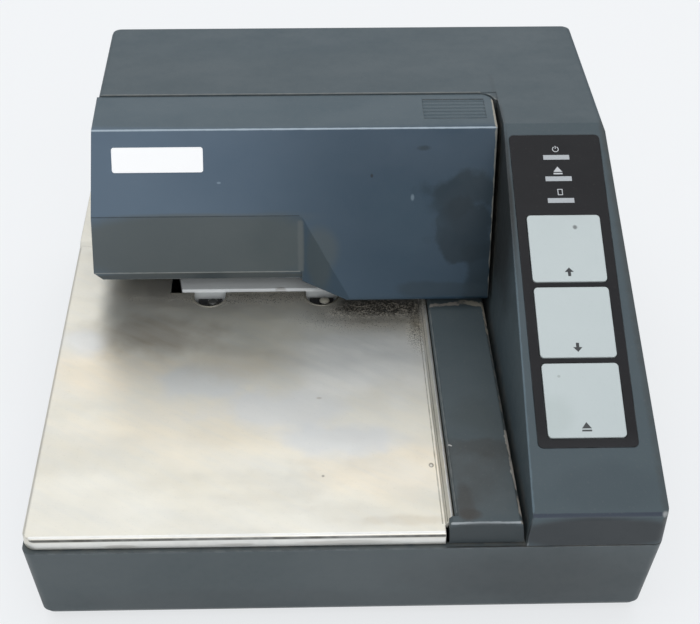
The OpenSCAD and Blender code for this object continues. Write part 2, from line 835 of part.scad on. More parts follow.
// What the recessed left face takes away, grown by a wall for the inside
module recess_cut(grow) {
  outside = -5;
  front = cover_foot_y - 30;
  facet = [(recess_y - cover_foot_y) / facet_run + 6, recess_y - cover_foot_y + 4.3];
  turn = atan2(facet[1], facet[0]);
  tangent = recess_round * tan(turn / 2);
  corner = [recess_x, recess_y];
  far = recess_x + facet[0];
  break_z = cover_top_z - (cover_top_y - recess_y) / lean;
  z0 = cover_foot_z - 5;
  translate([0, 0, z0]) linear_extrude(break_z + 12 - z0) offset(delta = grow) {
    polygon([[outside, recess_y], corner - [tangent, 0], corner + tangent * [cos(turn), -sin(turn)],
      [far, recess_y - facet[1]], [far, front], [outside, front]]);
    translate(corner - [tangent, recess_round]) circle(recess_round);
  }
  // Bevel along the recessed face's foot
  along_x(outside, recess_x + grow) offset(delta = grow)
    polygon([[recess_y - 2, bevel_z], [recess_y, bevel_z], [recess_y + bevel_run, cover_foot_z],
      [recess_y + bevel_run, z0], [recess_y - 2, z0]]);
}

module cover_form(inset) {
  intersection() {
    difference() {
      along_x(0, case_w) cover_side(inset);
      recess_cut(inset);
    }
    along_y(cover_foot_y - 5, cover_rear + (inset > 0 ? over : 0)) cover_front(inset);
    linear_extrude(case_top + 5) cover_plan(inset);
  }
}

module ribbon_cover() {
  inside_right = cover_right_low - cover_wall;
  color("#566372") placed() {
    difference() {
      cover_form(0);
      cover_form(cover_wall);
      box([cover_left + cover_wall + 1, recess_y + bevel_run + cover_wall + 0.1, cover_foot_z - 10],
        [inside_right, cover_rear + over, bevel_z + 1]);
      box([recess_x + 16, cover_foot_y + cover_wall + 1, cover_foot_z - 10],
        [inside_right, cover_rear + over, cover_foot_z + 4]);
      // Recessed finger grip
      translate([grip_x[0], grip_y[0], grip_z(grip_y[0])]) rotate([top_slope, 0, 0])
        translate([0, 0, -grip_depth]) cube([grip_x[1] - grip_x[0], grip_y[1] - grip_y[0], over]);
    }
    for (i = [0:ridges - 1]) {
      y = grip_y[0] + 2 * ridge_r + i * (grip_y[1] - grip_y[0] - 4 * ridge_r) / (ridges - 1);
      bar_x(grip_x[0] - ridge_r, grip_x[1] + ridge_r, [y, grip_z(y) - ridge_r], ridge_r);
    }
    // Hinge lugs inside the left side
    for (y = [hinge_y[0], hinge_y[1] - lug_t]) difference() {
      union() {
        bar_y(y, y + lug_t, [hinge_x, hinge_z], lug_r);
        box([cover_left + 1, y, hinge_z - 2.2], [hinge_x - hinge_r, y + lug_t, hinge_z + 3]);
      }
      bar_y(y - over, y + lug_t + over, [hinge_x, hinge_z], hinge_r + fit);
    }
  }
}

// Height of the cover's top at a place along its depth
function grip_z(y) = cover_top_z + (y - cover_top_y) * tan(top_slope);

module blank_label() {
  color("#f2f3f5") placed() translate([label_x + label_w / 2, cover_top_y, cover_top_z])
    rotate([-atan(lean), 0, 0]) translate([0, 0, -label_down - label_h / 2]) rotate([90, 0, 0])
      linear_extrude(label_t) rounded_rect(label_w, label_h, label_round);
}

// ---- Mechanism frame ----
module cheek(x) {
  step = 6;
  difference() {
    along_x(x, x + frame_t) polygon([[cheek_front, cheek_foot + step], [cheek_front, deck_z - 4],
      [cheek_front + 4, deck_z], [frame_rear, deck_z], [frame_rear, cheek_foot],
      [cheek_front + 14, cheek_foot], [cheek_front + 10, cheek_foot + step]]);
    bar_x(x - over, x + frame_t + over, [shaft_y, shaft_z], shaft_r);
    bar_x(x - over, x + frame_t + over, rail_at, rail_r);
    bar_x(x - over, x + frame_t + over, pivot_at, pivot_r + fit);
  }
}

module mechanism_frame() {
  deck_top = deck_z + frame_t;
  right_end = column_x + frame_t;
  color("#a9adaf") placed() {
    difference() {
      union() {
        cheek(left_cheek);
        cheek(right_cheek);
        // Deck across the top, folded down at the rear
        box([left_cheek, seam_y + 1, deck_z], [right_end, frame_rear, deck_top]);
        box([left_cheek, frame_rear - frame_t, cheek_foot], [right_end, frame_rear, deck_top]);
        // Column that carries the overhanging mechanism
        box([column_x, foot_plate_y[0], foot_plate_z], [right_end, frame_rear, deck_top]);
        box([column_x, foot_plate_y[0], foot_plate_z],
          [foot_plate_x[1], frame_rear, foot_plate_z + frame_t]);
        // Stud of the idler pulley, with its retaining head
        bar_z(belt_z[0] - 2, deck_z + frame_t / 2, [idler_x, belt_y], stud_r);
        bar_z(belt_z[0] - 2.6, belt_z[0] - 1.7, [idler_x, belt_y], stud_r + 0.8);
        hinge_ears();
      }
      bar_y(hinge_y[0], hinge_y[1], [hinge_x, hinge_z], hinge_r);
      bar_z(deck_z - over, deck_top + over, [drive_x, belt_y], motor_boss_r + body_gap);
      for (y = [foot_plate_y[0] + 6, frame_rear - 6])
        bar_z(foot_plate_z - over, foot_plate_z + frame_t + over, [foot_plate_x[0] + 6.5, y],
          screw_r + screw_clear);
    }
    // Shelves under the ribbon cassette
    for (at = [[left_cheek + frame_t, cassette_x[0]], [cassette_x[1], right_cheek]])
      box([at[0], print_y - 5, deck_z - shelf_drop], [at[1], print_y + 5, deck_z - shelf_drop + frame_t]);
  }
}

// Ears that hold the cover's hinge rod
module hinge_ears() {
  for (y = [hinge_y[0] + lug_t + 1, hinge_y[1] - lug_t - 1 - frame_t]) {
    bar_y(y, y + frame_t, [hinge_x, hinge_z], ear_r);
    along_y(y, y + frame_t) polygon([[hinge_x, hinge_z - 2.4], [left_cheek + frame_t, cheek_foot + 6],
      [left_cheek + frame_t, cheek_foot + 12], [hinge_x, hinge_z + ear_r]]);
  }
}

module cover_hinge_rod() {
  color("#b8bcbf") placed() bar_y(hinge_y[0] - 0.8, hinge_y[1] + 0.5, [hinge_x, hinge_z], hinge_r);
}

module guide_shafts() {
  color("#c8cccf") placed() {
    bar_x(left_cheek - shaft_end, right_cheek + frame_t + shaft_end, [shaft_y, shaft_z], shaft_r);
    bar_x(left_cheek - shaft_end, right_cheek + frame_t + shaft_end, rail_at, rail_r);
  }
}

// ---- Carriage and print head ----
module head_carriage() {
  rail_y = rail_at[0];
  rail_z = rail_at[1];
  shoe = 1.5;
  low = shaft_z - sleeve_r;
  reach = 20;
  color("#25282b") placed() difference() {
    union() {
      bar_x(head_x - sleeve_half, head_x + sleeve_half, [shaft_y, shaft_z], sleeve_r);
      box([head_x - 9, head_y[1], head_z[0] + 8], [head_x + 9, shaft_y - 2, head_z[1] + 2]);
      box([head_x - 8, shaft_y, low], [head_x + 8, rail_y + rail_r + shoe, low + 2.8]);
      box([head_x - 5, rail_y - rail_r - 2, rail_z - 3.2],
        [head_x + 5, rail_y + rail_r + shoe, rail_z + rail_r + shoe]);
      box([head_x - 3, belt_run_y - 2.5, low + 1], [head_x + 3, belt_run_y + belt_t + 1.9, belt_z[1] + 1.5]);
    }
    bar_x(head_x - reach, head_x + reach, [shaft_y, shaft_z], shaft_r + fit);
    box([head_x - reach, rail_y - rail_r - fit, rail_z - 10],
      [head_x + reach, rail_y + rail_r + fit, rail_z + rail_r + fit]);
    box([head_x - reach, belt_run_y - belt_clear, belt_z[0] - belt_clear],
      [head_x + reach, belt_run_y + belt_t + belt_clear, belt_z[1] + 5]);
  }
}

module print_head() {
  color("#6f7478") placed() {
    difference() {
      box([head_x - head_w / 2, head_y[0], head_z[0]], [head_x + head_w / 2, head_y[1], head_z[1]]);
      for (i = [1:fins]) {
        z = head_z[0] + i * (head_z[1] - head_z[0]) / (fins + 1) - fin_gap / 2;
        for (side = [-1, 1]) translate([head_x + side * head_w / 2 - fin_cut, head_y[0] - over, z])
          cube([2 * fin_cut, head_y[1] - head_y[0] + 2 * over, fin_gap]);
        translate([head_x - head_w, head_y[0] - over, z]) cube([2 * head_w, over + fin_cut, fin_gap]);
      }
    }
    intersection() {
      along_y(head_y[0], head_y[1]) nose_outline(head_x, nose_half);
      along_x(head_x - head_w, head_x + head_w) nose_outline(print_y, nose_deep);
    }
  }
}

// Outline of the head's nose, seen from the front or from the side
module nose_outline(mid, half) {
  polygon([[mid - half[0], head_z[0]], [mid + half[0], head_z[0]], [mid + half[1], nose_z],
    [mid - half[1], nose_z]]);
}

// ---- Carriage drive ----
module pulley(x, bore) {
  translate([x, belt_y, 0]) difference() {
    union() {
      translate([0, 0, belt_z[0] - 0.3]) cylinder(r = pulley_r, h = belt_z[1] - belt_z[0] + 0.6);
      for (z = [belt_z[0] - 0.3 - pulley_flange_t, belt_z[1] + 0.3])
        translate([0, 0, z]) cylinder(r = flange_r, h = pulley_flange_t);
    }
    translate([0, 0, belt_z[0] - 2]) cylinder(r = bore, h = 20);
  }
}

module drive_pulley() {
  color("#d8d6cc") placed() {
    pulley(drive_x, motor_shaft_r - 0.1);
    bar_z(belt_z[0] - 0.3 - pulley_flange_t, deck_z - 0.4, [drive_x, belt_y], motor_shaft_r);
  }
}

module idler_pulley() { color("#d8d6cc") placed() pulley(idler_x, stud_r + fit); }

// Closed loop round the two pulleys, grown by a thickness
module belt_loop(grow) {
  r = belt_reach + grow;
  for (x = [idler_x, drive_x]) translate([x, belt_y]) circle(r);
  translate([idler_x, belt_y - r]) square([drive_x - idler_x, 2 * r]);
}

module carriage_belt() {
  color("#1b1c1e") placed() translate([0, 0, belt_z[0]]) linear_extrude(belt_z[1] - belt_z[0]) difference() {
    belt_loop(belt_t);
    belt_loop(0);
  }
}

module carriage_motor() {
  color("#8f9396") placed() {
    bar_z(deck_z + frame_t, carriage_motor_top, [drive_x, belt_y], carriage_motor_r);
    bar_z(deck_z, deck_z + frame_t, [drive_x, belt_y], motor_boss_r);
  }
}

// ---- Ribbon cassette ----
module ribbon_cassette() {
  x0 = cassette_x[0];
  x1 = cassette_x[1];
  z0 = cassette_z[0];
  z1 = cassette_z[1];
  round_off = 1.2;
  cut = 3;
  arm_x1 = window_right + 4;
  color("#1d1f22") placed() difference() {
    along_y(cassette_y[0], cassette_y[1]) offset(r = round_off, $fn = 24) offset(delta = -round_off)
      polygon([[x0 + 1, arm_foot], [x0 + arm_w, arm_foot], [x0 + arm_w, z0 - round_off],
        [x0 + arm_w + round_off, z0], [window_right - round_off, z0], [window_right, z0 - round_off],
        [window_right, arm_foot], [arm_x1, arm_foot], [x1, z0 - 8], [x1, z1 - cut], [x1 - cut, z1],
        [x0 + cut, z1], [x0, z1 - cut], [x0, arm_foot + cut]]);
    bar_y(cassette_y[0] - over, cassette_y[0] + 9, knob_at, knob_bore);
    // Grooves round the two spools
    for (x = spool_x) translate([x, cassette_y[0], (z0 + z1) / 2]) rotate([90, 0, 0]) translate([0, 0, -0.8])
      difference() {
        cylinder(r = spool_rim_r, h = 2);
        translate([0, 0, -over]) cylinder(r = spool_rim_r - rim_t, h = 4);
      }
  }
}

module ink_ribbon() {
  top = nose_z - 0.35;
  color("#2a2433") placed() box([cassette_x[0] + arm_w, print_y - ribbon_w / 2, top - ribbon_t],
    [window_right, print_y + ribbon_w / 2, top]);
}

module ribbon_knob() {
  gap = 0.4;
  knob_l = 3.2;
  color("#3c4046") placed() translate([knob_at[0], 0, knob_at[1]]) {
    rotate([90, 0, 0]) translate([0, 0, -cassette_y[0] + gap]) linear_extrude(knob_l) difference() {
      circle(knob_r);
      for (i = [0:knob_grips - 1]) rotate(i * 360 / knob_grips) translate([knob_r + 0.3, 0]) circle(0.8);
    }
    bar_y(cassette_y[0] - gap, cassette_y[0] + 8, [0, 0], knob_bore - fit);
  }
}

// ---- Slip feed ----
module platen() {
  top = table_top - platen_sunk;
  low = top - platen_h;
  nib = 0.8;
  color("#dfe2e2") placed() {
    intersection() {
      along_x(platen_x[0], platen_x[1]) polygon([[platen_y[0], low], [platen_y[0], top - nib],
        [platen_y[0] + nib, top], [platen_y[1], top], [platen_y[1], low]]);
      translate([0, 0, low]) linear_extrude(platen_h) polygon([[platen_x[0] + platen_skew, platen_y[0]],
        [platen_x[1], platen_y[0]], [platen_x[1], platen_y[1]], [platen_x[0], platen_y[1]]]);
    }
    for (x = [platen_x[0] + 24, platen_x[1] - 13.5])
      box([x, platen_y[0] + 2, platen_frame_z + frame_t], [x + platen_foot_w, platen_y[1] - 2, low + nib]);
  }
}

module platen_frame() {
  wall_x = [notch_x[0] - 8, notch_x[1] + 8];
  y0 = platen_frame_y[0];
  z0 = platen_frame_z;
  color("#a5a9ab") placed() difference() {
    union() {
      for (x = [frame_x[0], frame_x[1] - frame_t])
        box([x, y0, z0], [x + frame_t, platen_frame_y[1], table_top - sheet_t - body_gap]);
      box([frame_x[0], y0, z0], [frame_x[1], platen_frame_y[1], z0 + frame_t]);
      // Front wall with the shelf of the slip sensors
      box([wall_x[0], y0 - frame_t, z0], [wall_x[1], y0, sensor_shelf_z]);
      box([wall_x[0], y0 - 10, sensor_shelf_z - frame_t], [wall_x[1], y0, sensor_shelf_z]);
    }
    bar_x(frame_x[0] - over, frame_x[1] + over, [feed_y, feed_z], feed_shaft_r + fit);
  }
}

module slip_sensors() {
  top = table_top - 2.2;
  color("#1a1c1e") placed() for (x = notch_x) {
    box([x - sensor_half, window_y - 6.5, sensor_shelf_z], [x + sensor_half, window_y - 0.6, top]);
    bar_z(top, top + 1, [x + 1, window_y - 3.6], lens_r);
  }
}

module feed_shaft() {
  color("#c2c6c9") placed() bar_x(frame_x[0] - 3, gear_x[1], [feed_y, feed_z], feed_shaft_r);
}

module feed_rollers() {
  color("#2b2b2c") placed() for (x = notch_x) difference() {
    bar_x(x - roller_w / 2, x + roller_w / 2, [feed_y, feed_z], feed_r);
    bar_x(x - roller_w, x + roller_w, [feed_y, feed_z], feed_shaft_r);
  }
}

// Outline of a spur gear with straight-sided teeth, one tooth along +x
function gear_outline(teeth, m) = [
  for (i = [0:teeth - 1], corner = [[-0.31, -1.2], [-0.115, 0.9], [0.115, 0.9], [0.31, -1.2]])
    let (a = (i + corner[0]) * 360 / teeth, r = teeth * m / 2 + corner[1] * m) [r * cos(a), r * sin(a)]];

module feed_gear() {
  hole_r = gear_r * 0.15;
  color("#e3e1d8") placed() translate([0, feed_y, feed_z]) difference() {
    along_x(gear_x[0], gear_x[1]) rotate(mesh_angle) polygon(gear_outline(gear_teeth, gear_module));
    bar_x(gear_x[0] - over, gear_x[1] + over, [0, 0], feed_shaft_r);
    for (a = [0:60:300]) rotate([a, 0, 0])
      bar_x(gear_x[0] - over, gear_x[1] + over, [gear_r * 0.62, 0], hole_r);
  }
}

module motor_pinion() {
  end = gear_x[1] + 0.6;
  color("#c9a85c") placed() translate([0, pinion_at[0], pinion_at[1]]) {
    along_x(gear_x[0] - 0.5, end) rotate(mesh_angle + 180 + 180 / pinion_teeth)
      polygon(gear_outline(pinion_teeth, gear_module));
    bar_x(end, feed_motor_x[0] - 0.4, [0, 0], motor_shaft_r);
  }
}

module feed_motor() {
  color("#8f9396") placed() difference() {
    bar_x(feed_motor_x[0], feed_motor_x[1], pinion_at, feed_motor_r);
    bar_x(feed_motor_x[0] - over, feed_motor_x[0] + 0.8, pinion_at, 4);
  }
}

// ---- Pressure rollers and their release ----
module pressure_arm() {
  eye_r = 2.6;
  hub_r = 3.4;
  color("#b3b6b8") placed() difference() {
    union() {
      for (x = arm_x) hull() {
        bar_x(x, x + arm_t, pinch_at, eye_r);
        bar_x(x, x + arm_t, pivot_at, hub_r);
      }
      bar_x(left_cheek - shaft_end, right_cheek + frame_t + shaft_end, pivot_at, pivot_r);
      box([lever_x, pivot_at[0] - 1, pivot_at[1]],
        [lever_x + lever_w, pivot_at[0] + 1, pivot_at[1] + lever_h]);
    }
    for (x = arm_x) bar_x(x - over, x + arm_t + over, pinch_at, pinch_shaft_r + fit);
  }
}

module pressure_rollers() {
  color("#3a3a3b") placed() {
    bar_x(arm_x[0] - 1, arm_x[1] + arm_t + 1, pinch_at, pinch_shaft_r);
    for (x = notch_x) bar_x(x - roller_w / 2, x + roller_w / 2, pinch_at, pinch_r);
  }
}

module release_solenoid() {
  color("#5b4636") placed() difference() {
    union() {
      box([solenoid_x[0], solenoid_y[0], solenoid_z[0]], [solenoid_x[1], solenoid_y[1], solenoid_z[1]]);
      box([solenoid_x[1], solenoid_y[0] + 2, solenoid_z[0] + 1],
        [right_cheek, solenoid_y[1] - 2, solenoid_z[1] - 1]);
    }
    bar_y(solenoid_y[0] - over, solenoid_y[1] - 2, plunger_at, plunger_r + fit);
  }
}

module solenoid_plunger() {
  color("#c2c6c9") placed() {
    bar_y(pivot_at[0] + 1.5, solenoid_y[0] - 1, plunger_at, plunger_r / 2);
    bar_y(solenoid_y[0] - 1, solenoid_y[1] - 4, plunger_at, plunger_r);
  }
}

// ---- Electronics ----
module main_board() {
  corner = [board_x[0], board_y[0]];
  color("#2f6b45") placed() {
    difference() {
      box([board_x[0], board_y[0], board_z], [board_x[1], board_y[1], board_top]);
      for (at = board_posts) bar_z(board_z - over, board_top + over, at, screw_r);
    }
    for (chip = chips)
      translate([corner[0] + chip[0], corner[1] + chip[1], board_top]) cube([chip[2], chip[3], chip_h]);
    for (at = cans) bar_z(board_top, board_top + can_h, corner + at, can_r);
  }
}

module interface_connector() {
  y0 = case_d - 14;
  shell_in = 6;
  shell_drop = 2;
  plate = 1;
  color("#b9bcbe") placed() difference() {
    union() {
      box([interface_x[0], y0, board_top],
        [interface_x[1], case_d - side_taper - wall - body_gap, board_top + interface_h]);
      box([interface_x[0] + shell_in, y0, board_top + shell_drop],
        [interface_x[1] - shell_in, case_d - 0.2, board_top + interface_h - shell_drop]);
    }
    box([interface_x[0] + shell_in + plate, case_d - 6, board_top + shell_drop + plate],
      [interface_x[1] - shell_in - plate, case_d + over, board_top + interface_h - shell_drop - plate]);
  }
}

module drawer_connector() {
  rim = 2;
  color("#1e2022") placed() difference() {
    box([drawer_x[0] + body_gap, case_d - 16, board_top],
      [drawer_x[1] - body_gap, case_d - 1.4, board_top + drawer_h - body_gap]);
    box([drawer_x[0] + rim, case_d - socket_depth, board_top + rim],
      [drawer_x[1] - rim, case_d + over, board_top + drawer_h - rim - body_gap]);
  }
}

module power_inlet() {
  y0 = case_d - 16;
  color("#1e2022") placed() difference() {
    union() {
      bar_y(y0, case_d - 1.4, inlet_at, inlet_r - body_gap);
      box([inlet_at[0] - inlet_block, y0, floor_t],
        [inlet_at[0] + inlet_block, case_d - side_taper - wall - body_gap, inlet_at[1] + inlet_block]);
    }
    bar_y(case_d - socket_depth, case_d + over, inlet_at, inlet_r - 1.6);
  }
  color("#c9b26a") placed() for (a = [90, 210, 330])
    bar_y(case_d - socket_depth, case_d - 4, inlet_at + pin_circle * [cos(a), sin(a)], pin_r);
}

module switch_housing() {
  rim = 1.6;
  color("#1e2022") placed() difference() {
    union() {
      box([switch_x[0] + body_gap, case_d - 18, switch_z[0] + body_gap],
        [switch_x[1] - body_gap, case_d - 1.6, switch_z[1] - body_gap]);
      box([foot_plate_x[1] + 1, case_d - 16, floor_t], [switch_x[1] - 1, case_d - 8, switch_z[0] + 1]);
    }
    box([switch_x[0] + 2, case_d - socket_depth, switch_z[0] + rim],
      [switch_x[1] - 2, case_d + over, switch_z[1] - rim]);
    bar_x(switch_x[0] + 0.5, switch_x[1] - 0.5, rocker_pivot, rocker_axle_r + fit);
  }
}

module power_rocker() {
  half = (switch_z[1] - switch_z[0]) / 2 - 2.2;
  color("#2a2c2e") placed() {
    along_x(switch_x[0] + 2.4, switch_x[1] - 2.4) translate(rocker_pivot) rotate(-rocker_tilt)
      polygon([[-2.2, -1.6], [-2.2, 1.6], [2.6, half - 0.4], [4.6, half - 0.2], [3.4, 0], [4.6, -half + 0.2],
        [2.6, -half + 0.4]]);
    bar_x(switch_x[0] + 0.8, switch_x[1] - 0.8, rocker_pivot, rocker_axle_r);
  }
}

lower_case();
rubber_feet();
slip_table();
rear_slip_plate();
slip_guide_panel();
upper_case();
control_panel_sheet();
indicator_windows();
forward_key();
reverse_key();
release_key();
key_board();
ribbon_cover();
blank_label();
cover_hinge_rod();
mechanism_frame();
guide_shafts();
head_carriage();
print_head();
drive_pulley();
idler_pulley();
carriage_belt();
carriage_motor();
ribbon_cassette();
ink_ribbon();
ribbon_knob();
platen();
platen_frame();
slip_sensors();
feed_shaft();
feed_rollers();
feed_gear();
motor_pinion();
feed_motor();
pressure_arm();
pressure_rollers();
release_solenoid();
solenoid_plunger();
main_board();
interface_connector();
drawer_connector();
power_inlet();
switch_housing();
power_rocker();
case_screws();
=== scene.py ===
"""Flatbed slip printer: finishes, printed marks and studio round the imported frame."""

import functools
import logging
import math
from dataclasses import dataclass
from enum import Enum

import bmesh
import bpy
from mathutils import Matrix, Vector


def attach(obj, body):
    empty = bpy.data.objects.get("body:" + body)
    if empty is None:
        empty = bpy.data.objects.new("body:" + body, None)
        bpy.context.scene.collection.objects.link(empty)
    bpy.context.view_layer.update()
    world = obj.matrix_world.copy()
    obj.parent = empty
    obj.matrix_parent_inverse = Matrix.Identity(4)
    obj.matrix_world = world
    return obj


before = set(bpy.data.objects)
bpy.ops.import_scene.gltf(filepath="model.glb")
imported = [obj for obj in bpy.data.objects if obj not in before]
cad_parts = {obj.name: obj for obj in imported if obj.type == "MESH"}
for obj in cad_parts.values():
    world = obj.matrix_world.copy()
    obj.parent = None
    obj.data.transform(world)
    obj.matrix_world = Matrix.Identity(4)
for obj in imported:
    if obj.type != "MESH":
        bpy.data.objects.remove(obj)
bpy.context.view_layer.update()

LOG = logging.getLogger("slip_printer")
MM = 0.001
Colour = tuple[float, float, float]
Point = tuple[float, float, float]
Outline = list[tuple[float, float]]

# Origin of the case's own millimetre coordinates, seen from the row frame
CASE_ORIGIN = Vector((-90.0, -94.0, 2.0))


def at_case(x: float, y: float, z: float) -> Vector:
    """Turns a place in case millimetres into the row frame.

    Args:
        x: Distance from the case's left side.
        y: Distance from its front.
        z: Height over its underside.
    Returns:
        The place in metres.
    """
    return (Vector((x, y, z)) + CASE_ORIGIN) * MM


class NodeBench:
    """Adds and joins nodes in one node tree."""

    def __init__(self, tree: bpy.types.NodeTree) -> None:
        """Keeps the tree that the nodes go into."""
        self.tree = tree

    def add(
        self, kind: str, inputs: dict[str | int, object] | None = None, **settings: object
    ) -> bpy.types.Node:
        """Adds a node with its settings and inputs.

        Args:
            kind: Node type without its ShaderNode prefix.
            inputs: Values, or outputs to join, by socket name or number.
            settings: Properties of the node.
        Returns:
            The new node.
        """
        node = self.tree.nodes.new("ShaderNode" + kind)
        for name, value in settings.items():
            setattr(node, name, value)
        for key, value in (inputs or {}).items():
            self.feed(node.inputs[key], value)
        return node

    def feed(self, socket: bpy.types.NodeSocket, value: object) -> None:
        """Joins an output to a socket, or sets the socket's value.

        Args:
            socket: Input to feed.
            value: Output socket or plain value.
        """
        if isinstance(value, bpy.types.NodeSocket):
            self.tree.links.new(value, socket)
        else:
            socket.default_value = value

    def maths(self, operation: str, *values: object) -> bpy.types.NodeSocket:
        """Adds a Math node, clamped where it multiplies or adds.

        Args:
            operation: Name of the sum.
            values: Its inputs in order.
        Returns:
            Its result.
        """
        result = self.plain(operation, *values)
        result.node.use_clamp = operation in ("MULTIPLY", "MULTIPLY_ADD", "ADD")
        return result

    def plain(self, operation: str, *values: object) -> bpy.types.NodeSocket:
        """Adds a Math node that is never clamped."""
        return self.add("Math", dict(enumerate(values)), operation=operation).outputs[0]

    def vector(self, operation: str, *values: object) -> bpy.types.NodeSocket:
        """Adds a VectorMath node.

        Args:
            operation: Name of the sum.
            values: Its inputs in order.
        Returns:
            Its number for a length or a dot product, or else its vector.
        """
        node = self.add("VectorMath", dict(enumerate(values)), operation=operation)
        return node.outputs["Value" if operation in ("LENGTH", "DOT_PRODUCT") else "Vector"]

    def own_place(self) -> bpy.types.NodeSocket:
        """Gives the place in the piece's own coordinates."""
        return self.add("TexCoord").outputs["Object"]

    def ease(self, value: object, low: float, high: float) -> bpy.types.NodeSocket:
        """Adds a smooth step.

        Args:
            value: What is measured.
            low: Where the result is 0.
            high: Where the result is 1.
        Returns:
            The step from 0 to 1.
        """
        inputs = {"Value": value, "From Min": low, "From Max": high}
        return self.add("MapRange", inputs, interpolation_type="SMOOTHSTEP").outputs[0]

    def mix(self, factor: object, first: object, second: object) -> bpy.types.NodeSocket:
        """Adds a colour mix.

        Args:
            factor: Share of the second colour.
            first: Colour at 0.
            second: Colour at 1.
        Returns:
            The mixed colour.
        """
        node = self.add("Mix", {0: factor, 6: first, 7: second}, data_type="RGBA")
        return node.outputs[2]

    def noise(
        self, scale: float, detail: float, stretch: Point = (1, 1, 1), slant: float = 0.0
    ) -> bpy.types.NodeSocket:
        """Adds noise in the piece's own coordinates.

        Args:
            scale: Cells for each metre.
            detail: Finer layers.
            stretch: Scale along each axis.
            slant: Turn about the upright axis before stretching, in degrees.
        Returns:
            The noise from 0 to 1.
        """
        place = self.own_place()
        if slant:
            turn = (0.0, 0.0, math.radians(slant))
            place = self.add("Mapping", {"Vector": place, "Rotation": turn}).outputs[0]
        if tuple(stretch) != (1, 1, 1):
            place = self.add("Mapping", {"Vector": place, "Scale": stretch}).outputs[0]
        return self.add("TexNoise", {"Vector": place, "Scale": scale, "Detail": detail}).outputs[0]


class Effect(Enum):
    """Shared surface effects, each a node group that is built once."""

    EDGE_WEAR = "edge_wear"
    SETTLED_DUST = "settled_dust"
    MOULD_GRAIN = "mould_grain"
    TONE_PATCHES = "tone_patches"
    SMEARS = "smears"
    STAIN_AND_PAINTED_LIGHT = "stain_and_painted_light"
    MARK_AND_PAINTED_LIGHT_LINE = "mark_and_painted_light_line"
    ROLLED_LINES = "rolled_lines"
    WIPED_STREAKS = "wiped_streaks"
    SPECKS = "specks"


